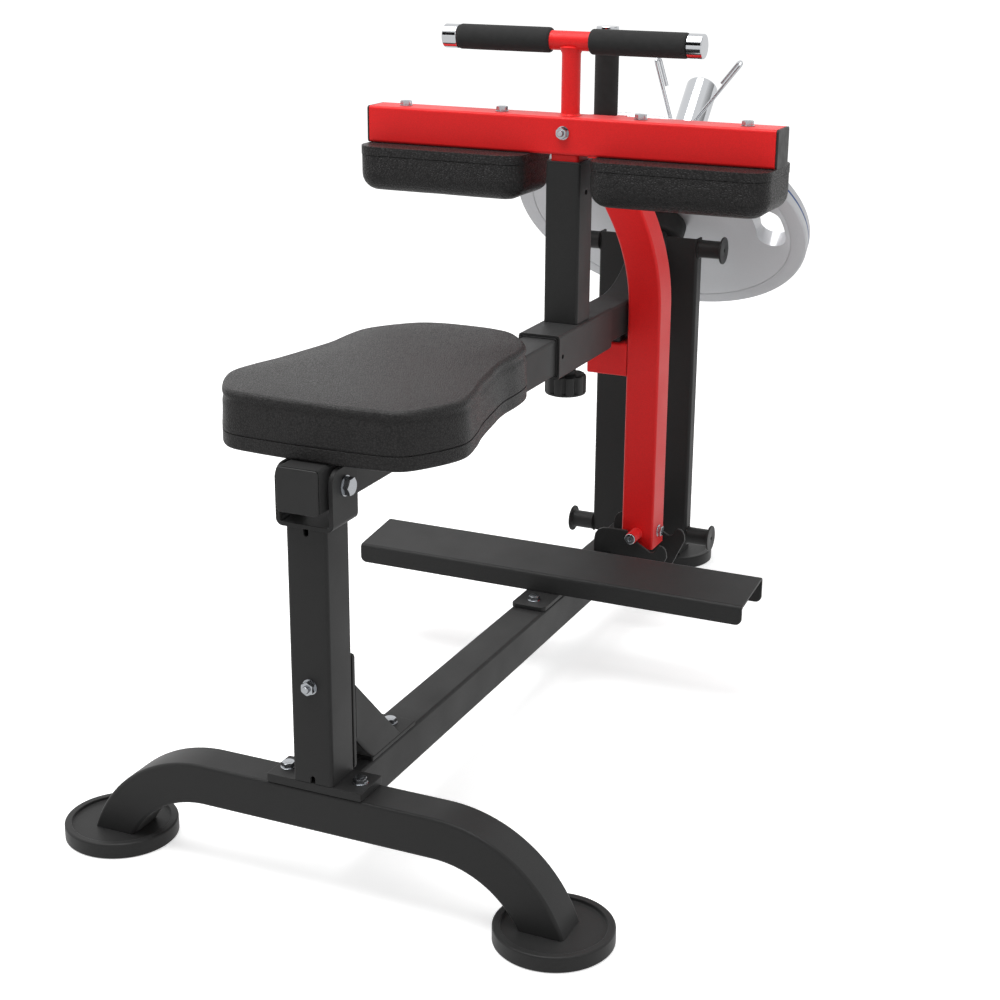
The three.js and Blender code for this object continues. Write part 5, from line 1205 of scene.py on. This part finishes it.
for index in range(3):
    turn = 120 * index
    ends = [(grip_line * math.cos(math.radians(turn + side * grip_sweep / 2)),
             grip_line * math.sin(math.radians(turn + side * grip_sweep / 2))) for side in (-1, 1)]
    outline = arc((0, 0), load_out, turn - grip_sweep / 2, turn + grip_sweep / 2, 16)
    outline += arc(ends[1], grip_round, turn + grip_sweep / 2, turn + grip_sweep / 2 + 180, 16)[1:]
    outline += arc((0, 0), load_in, turn + grip_sweep / 2, turn - grip_sweep / 2, 16)[1:]
    outline += arc(ends[0], grip_round, turn - grip_sweep / 2 + 180, turn - grip_sweep / 2 + 360, 16)[1:-1]
    skin(hole_shell, [[load_frame @ Vector((x, y, z)) for x, y in outline]
                      for z in (-hole_overrun, load_thickness + hole_overrun)])
holes = solid_piece("grip_holes", hole_shell, grey_enamel, crease=28)
cut = load.modifiers.new("grip holes", "BOOLEAN")
cut.operation = "DIFFERENCE"
cut.solver = "EXACT"
cut.object = holes
settle(load)
bpy.data.objects.remove(holes)
round_edges(load, hole_edge, 60)
smooth_off(load, 28)
dress(load, "weight", "grey_enamel", "weight_plate")


# Spring collar
# One 6 mm chromed wire, wound four times round the horn to hold the plate. Its crossed ends fold back
# on themselves as handles.
wire_radius, wire_gap, coil_pitch, coil_turns = 0.003, 0.0008, 0.007, 4
coil_radius = horn_radius + wire_gap + wire_radius
coil_spread, coil_roll, coil_place = math.radians(52), math.radians(15), 0.130
wire_lead, wire_handle, wire_tilt, wire_loop, wire_return = 0.060, 0.112, math.radians(42), 0.0055, 0.038


def wire_end(start, tangent):
    """One end of the wire: off the coil along its tangent, tilted along the horn, and folded back."""
    out = tangent * math.cos(wire_tilt) + Vector((0, 0, math.sin(wire_tilt)))
    fold = -tangent * math.sin(wire_tilt) + Vector((0, 0, math.cos(wire_tilt)))
    points = [start + wire_lead * share * tangent for share in (0.1, 0.3, 0.6, 0.82)]
    knee = start + wire_lead * 0.9 * tangent
    points.append(knee + 0.003 * (out - tangent) * 0.5)
    points += [knee + wire_handle * share * out for share in (0.05, 0.1, 0.5, 0.9, 1.0)]
    tip = points[-1]
    points += [tip + wire_loop * (math.sin(math.pi * share) * out + (1 - math.cos(math.pi * share)) * fold)
               for share in np.linspace(0.1, 1.0, 10)]
    points += [points[-1] - wire_return * share * out for share in (0.1, 0.5, 0.9, 1.0)]
    return points


coil_first = quarter + coil_spread
coil_sweep = 2 * math.pi * coil_turns - 2 * coil_spread
coil_rise = coil_pitch * coil_sweep / (2 * math.pi)
coil_steps = 260
coil = []
for step in range(coil_steps + 1):
    angle = coil_first + coil_sweep * step / coil_steps
    coil.append(Vector((coil_radius * math.cos(angle), coil_radius * math.sin(angle),
                        coil_rise * (step / coil_steps - 0.5))))
coil_last = coil_first + coil_sweep
wire_points = wire_end(coil[0], Vector((math.sin(coil_first), -math.cos(coil_first), 0)))[::-1]
wire_points += coil + wire_end(coil[-1], Vector((-math.sin(coil_last), math.cos(coil_last), 0)))
wire_frame = (Matrix.Translation(tube_end + (load_start + coil_place) * along_horn) @ horn_frame
              @ Matrix.Rotation(math.pi + coil_roll, 4, "Z"))

# A round wire follows a path of edges
wire_tree, wire_in = named_tree("round wire along a path", ("Radius", "NodeSocketFloat"),
                                ("Finish", "NodeSocketMaterial"))
wire_path = add_node(wire_tree, "GeometryNodeMeshToCurve", {"Mesh": wire_in.outputs["Geometry"]})
wire_ring = add_node(wire_tree, "GeometryNodeCurvePrimitiveCircle", {
    "Radius": wire_in.outputs["Radius"], "Resolution": 20})
wire_skin = add_node(wire_tree, "GeometryNodeCurveToMesh", {
    "Curve": wire_path.outputs[0], "Profile Curve": wire_ring.outputs[0], "Fill Caps": True})
end_tree(wire_tree, wire_skin.outputs[0], wire_in.outputs["Finish"])

wire_shell = grown("spring_collar_wire", [wire_frame @ point for point in wire_points], wire_tree,
                   radius=wire_radius, finish=chrome)
dress(solid_piece("spring_collar_wire", wire_shell, chrome, crease=60), "collar", "chrome_plate",
      "spring_collar")
